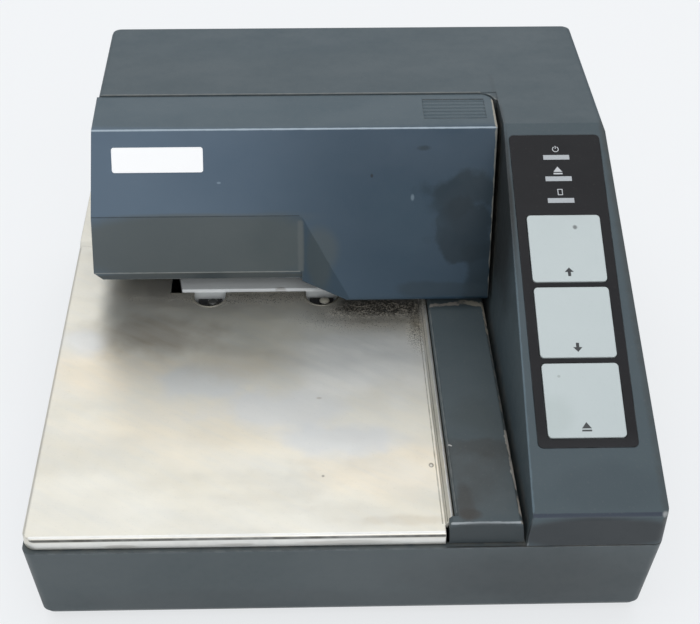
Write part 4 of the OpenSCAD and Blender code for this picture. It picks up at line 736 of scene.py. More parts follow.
class Finishes:
    """Every finish on the printer."""

    CASE = MouldedPlastic(
        "case_plastic",
        (0.072, 0.091, 0.098),
        (0.086, 0.104, 0.111),
        (0.40, 0.58),
        0.7,
        (
            MarkAndPaintedLightLine((4.0, 0.2, 29.9), (176.0, 0.2, 29.9), 0.30, (0.17, 0.19, 0.20), 0.5, 0.5),
            MarkAndPaintedLightLine((119.0, 0.4, 30.1), (141.0, 0.4, 30.1), 0.34, (0.012, 0.012, 0.012), 0.8, 0.5),
            StainAndPaintedLight((60.0, 1.0, 6.0), (50.0, 8.0, 5.0), (0.060, 0.072, 0.078), 0.4, 1.0),
            StainAndPaintedLight((150.0, 1.0, 14.0), (34.0, 8.0, 14.0), (0.048, 0.058, 0.063), 0.8, 1.0, 0.7),
        ),
        dust=0.32,
        wear=0.35,
    )
    GUIDE = MouldedPlastic(
        "guide_plastic",
        (0.060, 0.081, 0.091),
        (0.074, 0.096, 0.104),
        (0.42, 0.60),
        0.8,
        (
            StainAndPaintedLight((131.0, 20.0, 38.7), (14.0, 15.0, 4.0), (0.084, 0.098, 0.102), 0.45, 1.6, 0.25),
            StainAndPaintedLight((129.5, 31.5, 38.7), (12.0, 3.6, 4.0), (0.046, 0.048, 0.045), 0.55, 4.5, 0.5),
            StainAndPaintedLight((124.4, 10.0, 38.7), (1.9, 8.0, 4.0), (0.050, 0.047, 0.042), 0.60, 3.0, 0.6),
            StainAndPaintedLight((125.4, 4.6, 38.7), (2.6, 1.6, 4.0), (0.044, 0.038, 0.032), 0.60, 3.0, 0.6),
            StainAndPaintedLight((128.0, 20.0, 38.7), (7.0, 9.0, 4.0), (0.054, 0.058, 0.056), 0.45, 4.5, 0.5),
            StainAndPaintedLight((132.0, 44.0, 38.7), (8.0, 8.0, 4.0), (0.052, 0.066, 0.068), 0.50, 2.0, 0.5),
            MarkAndPaintedLightLine((121.4, 98.0, 38.7), (130.5, 98.6, 38.7), 1.2, (0.36, 0.33, 0.29), 0.85, 0.75),
            MarkAndPaintedLightLine((133.0, 99.6, 38.7), (139.6, 97.4, 38.7), 1.3, (0.40, 0.37, 0.30), 0.85, 0.75),
            MarkAndPaintedLightLine((139.4, 99.0, 38.4), (139.9, 84.0, 38.2), 1.0, (0.42, 0.38, 0.31), 0.9, 0.7),
            MarkAndPaintedLightLine((139.5, 84.0, 38.2), (139.5, 40.0, 38.2), 0.55, (0.25, 0.24, 0.21), 0.65, 0.95),
            MarkAndPaintedLightLine((139.5, 38.0, 38.2), (139.5, 15.0, 38.2), 0.85, (0.50, 0.47, 0.42), 0.95, 0.75),
            MarkAndPaintedLightLine((139.5, 15.0, 38.2), (139.6, 1.8, 38.2), 0.75, (0.44, 0.40, 0.34), 0.90, 0.8),
            # Painted highlight along the guide's front top edge.
            MarkAndPaintedLightLine((119.9, 1.85, 38.25), (139.0, 1.85, 38.25), 0.42, (0.42, 0.46, 0.48), 0.85, 0.35),
            MarkAndPaintedLightLine((121.7, 6.0, 38.2), (121.7, 96.0, 38.2), 0.34, (0.20, 0.21, 0.21), 0.6, 0.7),
            MarkAndPaintedLightLine((121.4, 32.6, 38.6), (122.6, 31.8, 38.6), 0.35, (0.55, 0.55, 0.53), 0.9, 0.3),
            StainAndPaintedLight((130.0, 1.4, 34.0), (14.0, 1.1, 5.0), (0.032, 0.041, 0.045), 0.85, 0.4, 0.2),
        ),
        dust=0.34,
        wear=0.30,
    )
    UPPER = MouldedPlastic(
        "upper_plastic",
        (0.068, 0.094, 0.108),
        (0.077, 0.104, 0.118),
        (0.44, 0.60),
        0.7,
        (
            # Partly dust, partly a painted highlight along the upper case's edge at the cover's seam.
            MarkAndPaintedLightLine((13.0, 137.8, 96.6), (138.4, 137.8, 96.6), 0.36, (0.28, 0.29, 0.28), 0.75, 0.3),
            MarkAndPaintedLightLine((138.4, 137.8, 96.6), (141.7, 136.4, 96.6), 0.40, (0.34, 0.35, 0.33), 0.70, 0.3),
            MarkAndPaintedLightLine((141.7, 136.4, 96.6), (143.9, 132.6, 96.6), 0.40, (0.34, 0.35, 0.33), 0.60, 0.4),
            # Painted highlight along the housing's left top edge.
            MarkAndPaintedLightLine((142.15, 2.0, 42.4), (144.0, 117.6, 96.4), 0.55, (0.125, 0.180, 0.215), 0.7, 0.4),
            MarkAndPaintedLightLine((141.5, 0.3, 31.0), (142.1, 0.5, 41.0), 0.40, (0.30, 0.32, 0.33), 0.7, 0.5),
            StainAndPaintedLight((160.5, 0.2, 35.4), (24.0, 1.7, 6.4), (0.031, 0.036, 0.040), 0.90, 0.3, 0.2),
            # Painted shade: a dark blue line along the housing's front bend.
            MarkAndPaintedLightLine((142.4, 0.9, 41.9), (178.4, 0.9, 41.9), 0.80, (0.034, 0.045, 0.070), 0.85, 0.1),
            # A worn spot on the right front corner, partly a painted glint.
            StainAndPaintedLight((178.9, 0.9, 41.7), (0.9, 1.0, 0.7), (0.50, 0.52, 0.52), 0.8, 0.8, 0.5),
            StainAndPaintedLight((165.0, 8.0, 45.0), (16.0, 8.0, 4.0), (0.058, 0.080, 0.094), 0.5, 1.0),
            MarkAndPaintedLightLine((179.4, 2.0, 40.0), (176.2, 118.0, 95.0), 3.0, (0.054, 0.060, 0.059), 0.8, 0.1),
            StainAndPaintedLight((60.0, 176.0, 96.6), (60.0, 14.0, 3.0), (0.060, 0.090, 0.108), 0.4, 0.9),
            # Painted shadow: the housing's wall beside the cover is made near black where the cover shades
            # it.
            StainAndPaintedLight((143.4, 104.0, 70.0), (1.5, 34.0, 40.0), (0.020, 0.021, 0.020), 0.9, 0.9, 0.5),
            MarkAndPaintedLightLine((143.7, 118.6, 50.0), (143.9, 121.0, 94.0), 1.0, (0.24, 0.22, 0.18), 0.6, 0.9),
        ),
        dust=0.26,
        wear=0.35,
    )
    COVER = MouldedPlastic(
        "cover_plastic",
        (0.048, 0.084, 0.126),
        (0.058, 0.096, 0.138),
        (0.36, 0.55),
        0.8,
        (
            # Painted light: these three patches make the face lighter and bluer at the left and darker at the
            # right, as light falls from the left.
            StainAndPaintedLight((10.0, 110.0, 76.0), (58.0, 90.0, 60.0), (0.110, 0.161, 0.220), 0.90, 0.8, 0.8),
            StainAndPaintedLight((54.0, 114.0, 82.0), (16.0, 30.0, 10.0), (0.072, 0.116, 0.168), 0.50, 1.0, 0.8),
            StainAndPaintedLight((126.0, 104.0, 60.0), (44.0, 90.0, 46.0), (0.024, 0.054, 0.086), 0.90, 0.8, 0.8),
            StainAndPaintedLight((131.6, 110.0, 75.1), (14.5, 20.0, 6.5), (0.005, 0.021, 0.033), 0.80, 3.0, 0.22),
            StainAndPaintedLight((134.4, 105.9, 63.5), (10.5, 20.0, 11.0), (0.005, 0.020, 0.032), 0.85, 2.6, 0.14),
            StainAndPaintedLight((138.8, 101.0, 51.5), (7.0, 20.0, 10.0), (0.005, 0.020, 0.032), 0.80, 2.6, 0.20),
            StainAndPaintedLight((139.6, 99.0, 46.5), (6.0, 20.0, 6.0), (0.008, 0.024, 0.036), 0.70, 2.4, 0.40),
            StainAndPaintedLight((119.2, 116.3, 88.6), (4.2, 6.0, 1.6), (0.010, 0.028, 0.042), 0.80, 2.8, 0.22),
            StainAndPaintedLight((127.0, 97.5, 45.6), (15.0, 8.0, 2.4), (0.016, 0.034, 0.048), 0.60, 2.4, 0.3),
            StainAndPaintedLight((113.0, 108.0, 68.0), (10.0, 14.0, 12.0), (0.034, 0.070, 0.104), 0.50, 2.0, 0.5),
            # Painted reflection of the table: the recess face and the bevel below it are made greyer and
            # lighter.
            StainAndPaintedLight((44.0, 107.8, 56.0), (46.0, 0.9, 15.0), (0.098, 0.118, 0.124), 0.92, 0.3, 0.2),
            StainAndPaintedLight((74.0, 107.8, 56.0), (12.0, 0.8, 14.0), (0.076, 0.099, 0.108), 0.60, 0.8, 0.6),
            StainAndPaintedLight((44.0, 109.2, 43.8), (42.0, 2.4, 2.1), (0.072, 0.086, 0.090), 0.85, 0.2, 0.2),
            StainAndPaintedLight((85.0, 104.0, 54.0), (6.5, 4.0, 13.0), (0.066, 0.088, 0.096), 0.75, 0.3, 0.3),
            StainAndPaintedLight((129.4, 129.4, 96.6), (12.0, 6.5, 3.0), (0.155, 0.200, 0.230), 0.8, 0.1, 0.1),
            StainAndPaintedLight((52.9, 112.3, 78.7), (0.7, 1.0, 0.35), (0.22, 0.29, 0.36), 0.8, 2.0, 0.4),
            StainAndPaintedLight((115.4, 110.1, 73.8), (0.55, 1.0, 1.0), (0.16, 0.22, 0.27), 0.8, 2.0, 0.4),
            StainAndPaintedLight((102.2, 113.0, 80.4), (0.4, 0.6, 0.55), (0.010, 0.016, 0.022), 0.9, 1.0, 0.4),
            StainAndPaintedLight((76.0, 128.0, 140.0), (900.0, 900.0, 45.5), (0.073, 0.106, 0.125), 0.92, 0.0, 0.004),
            # Painted highlight: a bright line along the top front edge.
            MarkAndPaintedLightLine((12.0, 119.3, 94.35), (142.2, 119.3, 94.35), 0.40, (0.44, 0.53, 0.60), 0.9, 0.2),
            MarkAndPaintedLightLine((11.0, 107.7, 68.7), (78.6, 107.7, 68.7), 0.34, (0.020, 0.034, 0.046), 0.8, 0.1),
            # Painted highlights: the facet's rounded edge, the top and foot of the recess's bevel and the
            # main face's foot.
            MarkAndPaintedLightLine((79.0, 107.2, 47.0), (79.0, 107.2, 66.0), 1.4, (0.135, 0.155, 0.162), 0.6, 0.1),
            MarkAndPaintedLightLine((10.6, 107.8, 45.9), (78.6, 107.8, 45.9), 0.36, (0.34, 0.36, 0.36), 0.75, 0.25),
            MarkAndPaintedLightLine((11.6, 109.3, 42.2), (78.6, 109.3, 42.2), 0.30, (0.22, 0.24, 0.24), 0.6, 0.5),
            MarkAndPaintedLightLine((93.5, 96.4, 42.4), (139.4, 96.4, 42.4), 0.38, (0.46, 0.50, 0.52), 0.85, 0.35),
            MarkAndPaintedLightLine((142.5, 134.5, 96.1), (142.3, 119.6, 94.5), 0.70, (0.36, 0.34, 0.28), 0.95, 0.25),
            MarkAndPaintedLightLine((142.2, 119.0, 94.0), (140.8, 96.6, 43.4), 0.40, (0.24, 0.24, 0.21), 0.8, 0.75),
            MarkAndPaintedLightLine((14.0, 137.3, 96.3), (138.1, 137.3, 96.3), 0.25, (0.12, 0.13, 0.13), 0.6, 0.4),
        ),
        dust=0.26,
        wear=0.40,
    )
    TABLE = RolledMetal(
        "table_steel",
        (0.775, 0.748, 0.660),
        (0.735, 0.698, 0.595),
        (0.34, 0.46),
        0.9,
        (
            StainAndPaintedLight((17.0, 72.0, 34.8), (22.0, 12.0, 4.0), (0.84, 0.75, 0.60), 0.75, 2.0, 0.6),
            StainAndPaintedLight((52.0, 42.0, 34.8), (34.0, 13.0, 4.0), (0.84, 0.765, 0.62), 0.75, 2.0, 0.6),
            StainAndPaintedLight((106.0, 26.0, 34.8), (20.0, 10.0, 4.0), (0.84, 0.755, 0.61), 0.75, 2.0, 0.6),
            StainAndPaintedLight((30.0, 90.0, 34.8), (20.0, 9.0, 4.0), (0.38, 0.32, 0.24), 0.88, 2.0, 0.6),
            StainAndPaintedLight((46.0, 65.0, 34.8), (12.0, 6.5, 4.0), (0.68, 0.695, 0.69), 0.80, 2.8, 0.5),
            StainAndPaintedLight((74.0, 52.0, 34.8), (20.0, 8.0, 4.0), (0.69, 0.705, 0.712), 0.75, 2.8, 0.5),
            StainAndPaintedLight((90.0, 40.0, 34.8), (14.0, 6.0, 4.0), (0.66, 0.675, 0.685), 0.80, 2.8, 0.5),
            StainAndPaintedLight((8.0, 86.0, 34.8), (8.0, 6.0, 4.0), (0.73, 0.745, 0.755), 0.70, 2.2, 0.5),
            StainAndPaintedLight((98.0, 76.0, 34.8), (24.0, 16.0, 4.0), (0.92, 0.91, 0.86), 0.92, 2.0, 0.6),
            StainAndPaintedLight((62.0, 76.0, 34.8), (14.0, 8.0, 4.0), (0.62, 0.56, 0.45), 0.60, 2.2, 0.6),
            StainAndPaintedLight((107.0, 6.4, 34.8), (14.0, 1.6, 3.0), (0.56, 0.49, 0.38), 0.40, 4.0, 0.6),
            StainAndPaintedLight((20.0, 14.0, 34.8), (22.0, 14.0, 3.0), (0.83, 0.81, 0.73), 0.60, 1.8, 0.6),
            # Black grime at the slot, partly painted shade under the cover's foot.
            StainAndPaintedLight((107.0, 102.6, 34.8), (14.0, 4.4, 3.0), (0.014, 0.014, 0.012), 0.95, 2.4, 0.3),
            StainAndPaintedLight((107.0, 95.0, 34.8), (13.0, 5.0, 3.0), (0.27, 0.25, 0.20), 0.36, 2.0, 0.6),
            StainAndPaintedLight((117.0, 95.0, 34.8), (1.8, 7.0, 3.0), (0.30, 0.26, 0.19), 0.65, 2.0, 0.5),
            # Painted reflection: the skirt is made near white, as it mirrors the pale floor.
            StainAndPaintedLight((60.0, 1.2, 32.1), (75.0, 1.0, 1.7), (0.98, 0.98, 0.95), 0.90, 0.2, 0.3),
            StainAndPaintedLight((90.0, 1.2, 31.9), (12.0, 2.0, 0.7), (0.30, 0.26, 0.21), 0.40, 2.2, 0.4),
            StainAndPaintedLight((60.0, 1.2, 31.6), (5.0, 2.0, 0.6), (0.28, 0.24, 0.20), 0.40, 2.2, 0.4),
            StainAndPaintedLight((28.0, 1.2, 31.4), (4.0, 2.0, 0.6), (0.28, 0.24, 0.20), 0.40, 2.2, 0.4),
            StainAndPaintedLight((116.6, 27.8, 34.8), (0.62, 0.78, 2.0), (0.12, 0.10, 0.08), 0.85, 1.2, 0.3),
            StainAndPaintedLight((116.55, 27.7, 34.8), (0.34, 0.42, 2.0), (0.70, 0.67, 0.60), 0.9, 0.6, 0.3),
            StainAndPaintedLight((84.7, 24.0, 34.8), (0.38, 0.38, 2.0), (0.22, 0.19, 0.15), 0.8, 1.2, 0.5),
            StainAndPaintedLight((84.2, 57.4, 34.8), (0.7, 0.4, 2.0), (0.38, 0.33, 0.26), 0.7, 2.0, 0.5),
            # Painted light on the front bend: a painted highlight, with a black line of painted reflection
            # below it.
            MarkAndPaintedLightLine((2.6, 1.9, 34.8), (118.2, 1.9, 34.8), 0.55, (0.97, 0.97, 0.95), 0.85, 0.1),
            MarkAndPaintedLightLine((2.6, 1.2, 33.95), (118.2, 1.2, 33.95), 0.62, (0.016, 0.015, 0.013), 0.97, 0.0),
            # Painted light on the upturned flange: two painted highlights, with a dark line of painted shade
            # in the groove.
            MarkAndPaintedLightLine((119.4, 5.0, 36.1), (119.4, 100.0, 36.1), 1.3, (0.96, 0.93, 0.84), 0.85, 0.1),
            MarkAndPaintedLightLine((119.2, 5.0, 35.8), (119.2, 100.0, 35.8), 0.22, (0.16, 0.14, 0.10), 0.80, 0.35),
            MarkAndPaintedLightLine((120.4, 5.0, 37.0), (120.4, 100.0, 37.0), 0.34, (0.98, 0.98, 0.96), 0.90, 0.2),
            MarkAndPaintedLightLine((117.9, 5.0, 34.8), (117.9, 100.0, 34.8), 0.26, (0.22, 0.20, 0.15), 0.75, 0.45),
        ),
        line_depth=0.0000010,
        grit=(
            StainAndPaintedLight((106.0, 100.6, 34.8), (15.0, 5.0, 20.0), (0.2, 0.18, 0.15), 1.10, 1.6),
            StainAndPaintedLight((101.0, 96.0, 34.8), (20.0, 6.5, 20.0), (0.2, 0.18, 0.15), 0.42, 1.2),
            StainAndPaintedLight((60.0, 108.0, 34.8), (30.0, 3.0, 20.0), (0.2, 0.18, 0.15), 0.60, 1.6),
            StainAndPaintedLight((116.6, 92.0, 34.8), (3.0, 12.0, 20.0), (0.2, 0.18, 0.15), 0.75, 1.2),
        ),
        dust=0.18,
        dust_colour=(0.05, 0.046, 0.038),
        metal=0.82,
        edge_colour=(0.97, 0.97, 0.95),
        wear=0.8,
        streaks=0.16,
        wiped=0.42,
        wiped_colour=(0.645, 0.655, 0.635),
    )
    RIM = RolledMetal(
        "worn_rim",
        (0.33, 0.31, 0.25),
        (0.17, 0.16, 0.12),
        (0.38, 0.56),
        1.0,
        line_depth=0.000001,
        dust=0.5,
        metal=0.6,
    )
    FRAME = RolledMetal("frame_steel", (0.52, 0.53, 0.54), (0.44, 0.45, 0.46), (0.30, 0.48))
    GROUND = RolledMetal(
        "ground_steel", (0.66, 0.67, 0.68), (0.58, 0.59, 0.60), (0.16, 0.28), line_depth=0.000001
    )
    BRIGHT = RolledMetal(
        "platen_metal",
        (0.90, 0.94, 0.94),
        (0.82, 0.86, 0.86),
        (0.30, 0.44),
        0.8,
        (
            StainAndPaintedLight((72.0, 112.6, 34.6), (1.6, 1.2, 2.0), (0.34, 0.32, 0.28), 0.6, 1.8),
            MarkAndPaintedLightLine((38.6, 112.6, 34.1), (111.0, 112.6, 34.1), 0.20, (0.95, 0.96, 0.96), 0.7, 0.4),
        ),
        line_depth=0.000001,
        metal=0.10,
        dust=0.05,
        streaks=0.1,
        wiped=0.05,
    )
    MOTOR = RolledMetal("motor_steel", (0.42, 0.43, 0.45), (0.36, 0.37, 0.39), (0.32, 0.46))
    ALLOY = RolledMetal("head_alloy", (0.34, 0.35, 0.37), (0.26, 0.27, 0.29), (0.42, 0.60))
    BRASS = RolledMetal("pinion_brass", (0.62, 0.47, 0.20), (0.54, 0.40, 0.17), (0.24, 0.38))
    SHELL = RolledMetal("connector_shell", (0.62, 0.63, 0.63), (0.55, 0.55, 0.55), (0.26, 0.40))
    CONTACT = RolledMetal("contact_gold", (0.75, 0.60, 0.28), (0.66, 0.52, 0.24), (0.20, 0.32))
    MECHANISM = MouldedPlastic(
        "mechanism_plastic",
        (0.020, 0.021, 0.023),
        (0.028, 0.029, 0.031),
        (0.36, 0.52),
        wear_colour=(0.10, 0.10, 0.11),
    )
    CASSETTE = MouldedPlastic(
        "cassette_plastic",
        (0.014, 0.015, 0.017),
        (0.022, 0.023, 0.025),
        (0.28, 0.44),
        wear_colour=(0.09, 0.09, 0.10),
    )
    PALE = MouldedPlastic(
        "pale_plastic", (0.72, 0.70, 0.62), (0.66, 0.64, 0.56), (0.34, 0.48), wear_colour=(0.80, 0.78, 0.72)
    )
    KEY = MouldedPlastic(
        "key_plastic",
        (0.600, 0.665, 0.665),
        (0.552, 0.618, 0.620),
        (0.30, 0.44),
        0.6,
        (
            StainAndPaintedLight((162.0, 94.0, 86.0), (9.0, 8.0, 10.0), (0.46, 0.53, 0.52), 0.35, 1.1),
            StainAndPaintedLight((162.8, 83.0, 80.3), (0.7, 0.7, 2.0), (0.13, 0.14, 0.14), 0.8, 1.2),
            StainAndPaintedLight((153.1, 38.3, 59.4), (0.45, 0.35, 2.0), (0.30, 0.33, 0.32), 0.5, 1.6),
            StainAndPaintedLight((150.0, 27.0, 54.0), (7.0, 6.0, 10.0), (0.45, 0.52, 0.50), 0.30, 1.1),
        ),
        grain=0.000008,
        wear=0.5,
        wear_colour=(0.70, 0.76, 0.76),
        dust=0.2,
    )
    FILM = MouldedPlastic(
        "panel_film",
        (0.0105, 0.0105, 0.0125),
        (0.0150, 0.0150, 0.0170),
        (0.36, 0.50),
        0.6,
        (StainAndPaintedLight((159.5, 14.0, 48.0), (22.0, 8.0, 8.0), (0.024, 0.0245, 0.027), 0.8, 0.6, 0.5),),
        grain=0.000006,
        wear=0.6,
        wear_colour=(0.16, 0.17, 0.18),
        dust=0.28,
        dust_colour=(0.12, 0.115, 0.10),
        round_edge=0.0002,
        specular=0.25,
    )
    LENS = MouldedPlastic(
        "indicator_lens",
        (0.490, 0.520, 0.545),
        (0.420, 0.445, 0.470),
        (0.22, 0.34),
        grain=0.000004,
        wear=0.2,
        dust=0.15,
        round_edge=0.0001,
    )
    LABEL = MouldedPlastic(
        "label_stock",
        (0.96, 0.962, 0.965),
        (0.93, 0.935, 0.94),
        (0.36, 0.48),
        grain=0.000003,
        wear=0.15,
        wear_colour=(0.7, 0.7, 0.68),
        dust=0.10,
        round_edge=0.0001,
        # The label's emission is a painted glow.
        painted_glow=0.18,
    )
    SENSOR_LENS = MouldedPlastic(
        "sensor_lens",
        (0.045, 0.047, 0.045),
        (0.070, 0.070, 0.064),
        (0.10, 0.22),
        0.6,
        (StainAndPaintedLight((87.0, 107.4, 34.0), (2.4, 2.2, 2.0), (0.50, 0.48, 0.40), 0.8, 1.4),),
        grain=0.000002,
        wear=0.3,
        dust=0.30,
        round_edge=0.0001,
        specular=0.5,
    )
    FOOT = Rubber("foot_rubber", (0.018, 0.018, 0.019), (0.028, 0.028, 0.029), (0.66, 0.82))
    ROLLER = Rubber("roller_rubber", (0.024, 0.024, 0.025), (0.034, 0.034, 0.035), (0.60, 0.78))
    BELT = Rubber("belt_rubber", (0.014, 0.014, 0.015), (0.022, 0.022, 0.023), (0.60, 0.74))
    TAPE = MouldedPlastic(
        "coil_tape", (0.15, 0.085, 0.045), (0.19, 0.11, 0.06), (0.28, 0.42), wear_colour=(0.28, 0.18, 0.10)
    )
    BOARD = PrintedBoard("circuit_board", (0.022, 0.105, 0.048), (0.030, 0.125, 0.060), (0.26, 0.38))
    RIBBON = WovenRibbon("ink_fabric", (0.010, 0.009, 0.013), (0.016, 0.015, 0.020), (0.62, 0.80))
    DARK_INK = PrintInk("dark_ink", (0.030, 0.032, 0.036), (0.10, 0.11, 0.11), (0.42, 0.55))
    PALE_INK = PrintInk("pale_ink", (0.62, 0.64, 0.66), (0.40, 0.42, 0.44), (0.42, 0.55))


def dress(node: str, finish: Finish) -> None:
    """Gives a carried-over node its finish.

    Args:
        node: The node's name.
        finish: What it is made of.
    """
    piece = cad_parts[node]
    for held in piece.material_slots:
        held.material = finish.material()
    LOG.info("%s: %s", node, finish.name)


def dress_all(finishes: dict[str, Finish]) -> None:
    """Gives each named node its finish, in order."""
    for node, finish in finishes.items():
        dress(node, finish)


class PieceMaker:
    """Turns mesh code into named pieces that ride on a body."""

    @staticmethod
    def piece(
        name: str, mesh: bmesh.types.BMesh, finish: Finish, body: str, slot: str, smooth: bool = False
    ) -> None:
        """Makes an object from a finished mesh.

        Args:
            name: The piece's name.
            mesh: Its mesh in the row frame, which is freed.
            finish: What it is made of.
            body: The CAD body it rides on.
            slot: Not used.
            smooth: Whether its faces are shaded smooth.
        """
        bmesh.ops.recalc_face_normals(mesh, faces=mesh.faces)
        data = bpy.data.meshes.new(name)
        mesh.to_mesh(data)
        mesh.free()
        data.materials.append(finish.material())
        made = bpy.data.objects.new(name, data)
        bpy.context.scene.collection.objects.link(made)
        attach(made, body)
        if smooth:
            data.shade_smooth()
        LOG.info("%s: %d faces on %s", name, len(data.polygons), body)

    @staticmethod
    def slab(mesh: bmesh.types.BMesh, outline: Outline, low: float, high: float, place: Matrix) -> None:
        """Adds a flat plate with a given outline.

        Args:
            mesh: Mesh to add to.
            outline: Corners in the plate's plane, in millimetres.
            low: Lower face, in millimetres.
            high: Upper face, in millimetres.
            place: From millimetres in the plate's plane to the row frame.
        """
        rings = [[mesh.verts.new(place @ Vector((u, v, w))) for u, v in outline] for w in (low, high)]
        mesh.faces.new(rings[0])
        mesh.faces.new(rings[1])
        for i, _ in enumerate(outline):
            j = (i + 1) % len(outline)
            mesh.faces.new((rings[0][i], rings[0][j], rings[1][j], rings[1][i]))

    @staticmethod
    def turned(mesh: bmesh.types.BMesh, profile: Outline, steps: int, place: Matrix) -> None:
        """Adds a turned form from a profile of radius and height.

        Args:
            mesh: Mesh to add to.
            profile: Pairs of radius and height, in millimetres.
            steps: Faces round the axis.
            place: From the turned form's millimetres to the row frame.
        """
        rings = []
        for radius, height in profile:
            turns = [2 * math.pi * i / steps for i in range(steps)]
            ring = [place @ Vector((radius * math.cos(a), radius * math.sin(a), height)) for a in turns]
            rings.append([mesh.verts.new(corner) for corner in ring])
        for low, high in zip(rings, rings[1:]):
            for i in range(steps):
                j = (i + 1) % steps
                mesh.faces.new((low[i], low[j], high[j], high[i]))
        mesh.faces.new(rings[0])
        mesh.faces.new(rings[-1])


class Symbol(Enum):
    """Plain printed symbols, each a list of outlines in millimetres."""

    FORWARD = "forward"
    REVERSE = "reverse"
    RELEASE = "release"
    POWER = "power"
    SLIP = "slip"

    def outlines(self) -> list[Outline]:
        """Draws the symbol about its middle.

        Returns:
            Its outlines.
        """
        arrow = [(-0.45, -1.4), (0.45, -1.4), (0.45, 0.0), (1.35, 0.0)]
        arrow += [(0.0, 1.5), (-1.35, 0.0), (-0.45, 0.0)]
        if self is Symbol.FORWARD:
            return [arrow]
        if self is Symbol.REVERSE:
            return [[(u, -v) for u, v in reversed(arrow)]]
        if self is Symbol.RELEASE:
            return [[(-1.4, -0.5), (1.4, -0.5), (0.0, 1.4)], self.bar(-1.4, 1.4, -1.4, -0.9)]
        if self is Symbol.POWER:
            turns = [math.radians(120 + 15 * i) for i in range(21)]
            outer = [(1.05 * math.cos(a), 1.05 * math.sin(a)) for a in turns]
            inner = [(0.80 * math.cos(a), 0.80 * math.sin(a)) for a in reversed(turns)]
            return [outer + inner, self.bar(-0.13, 0.13, 0.15, 1.2)]
        sheet = [self.bar(-0.8, 0.8, 0.85, 1.1), self.bar(-0.8, 0.8, -1.1, -0.85)]
        return sheet + [self.bar(-0.8, -0.55, -0.85, 0.85), self.bar(0.55, 0.8, -0.85, 0.85)]

    @staticmethod
    def bar(left: float, right: float, low: float, high: float) -> Outline:
        """Gives the corners of an upright rectangle."""
        return [(left, low), (right, low), (right, high), (left, high)]


@dataclass
class LowerShell:
    """Lower case with its feet and screws."""

    screw_places: tuple[tuple[float, float], ...] = ((14, 15), (168, 15), (14, 174), (170, 176))
    head_radius: float = 3.0
    head_low: float = 0.4
    cross_reach: float = 0.62
    cross_half: float = 0.17
    cross_proud: float = 0.03
    cross_depth: float = 0.2

    def build(self) -> None:
        """Finishes the shell and builds the crosses of the screw heads."""
        dress_all({"lower_case": Finishes.CASE, "rubber_feet": Finishes.FOOT, "case_screws": Finishes.GROUND})
        mesh = bmesh.new()
        arm, half = self.head_radius * self.cross_reach, self.head_radius * self.cross_half
        cross = [(-arm, -half), (-half, -half), (-half, -arm), (half, -arm), (half, -half), (arm, -half)]
        cross += [(arm, half), (half, half), (half, arm), (-half, arm), (-half, half), (-arm, half)]
        for x, y in self.screw_places:
            place = Matrix.Translation(at_case(x, y, 0)) @ Matrix.Scale(MM, 4)
            low, high = self.head_low - self.cross_proud, self.head_low + self.cross_depth
            PieceMaker.slab(mesh, cross, low, high, place)
        PieceMaker.piece("screw_crosses", mesh, Finishes.MECHANISM, "case", "ground_steel")


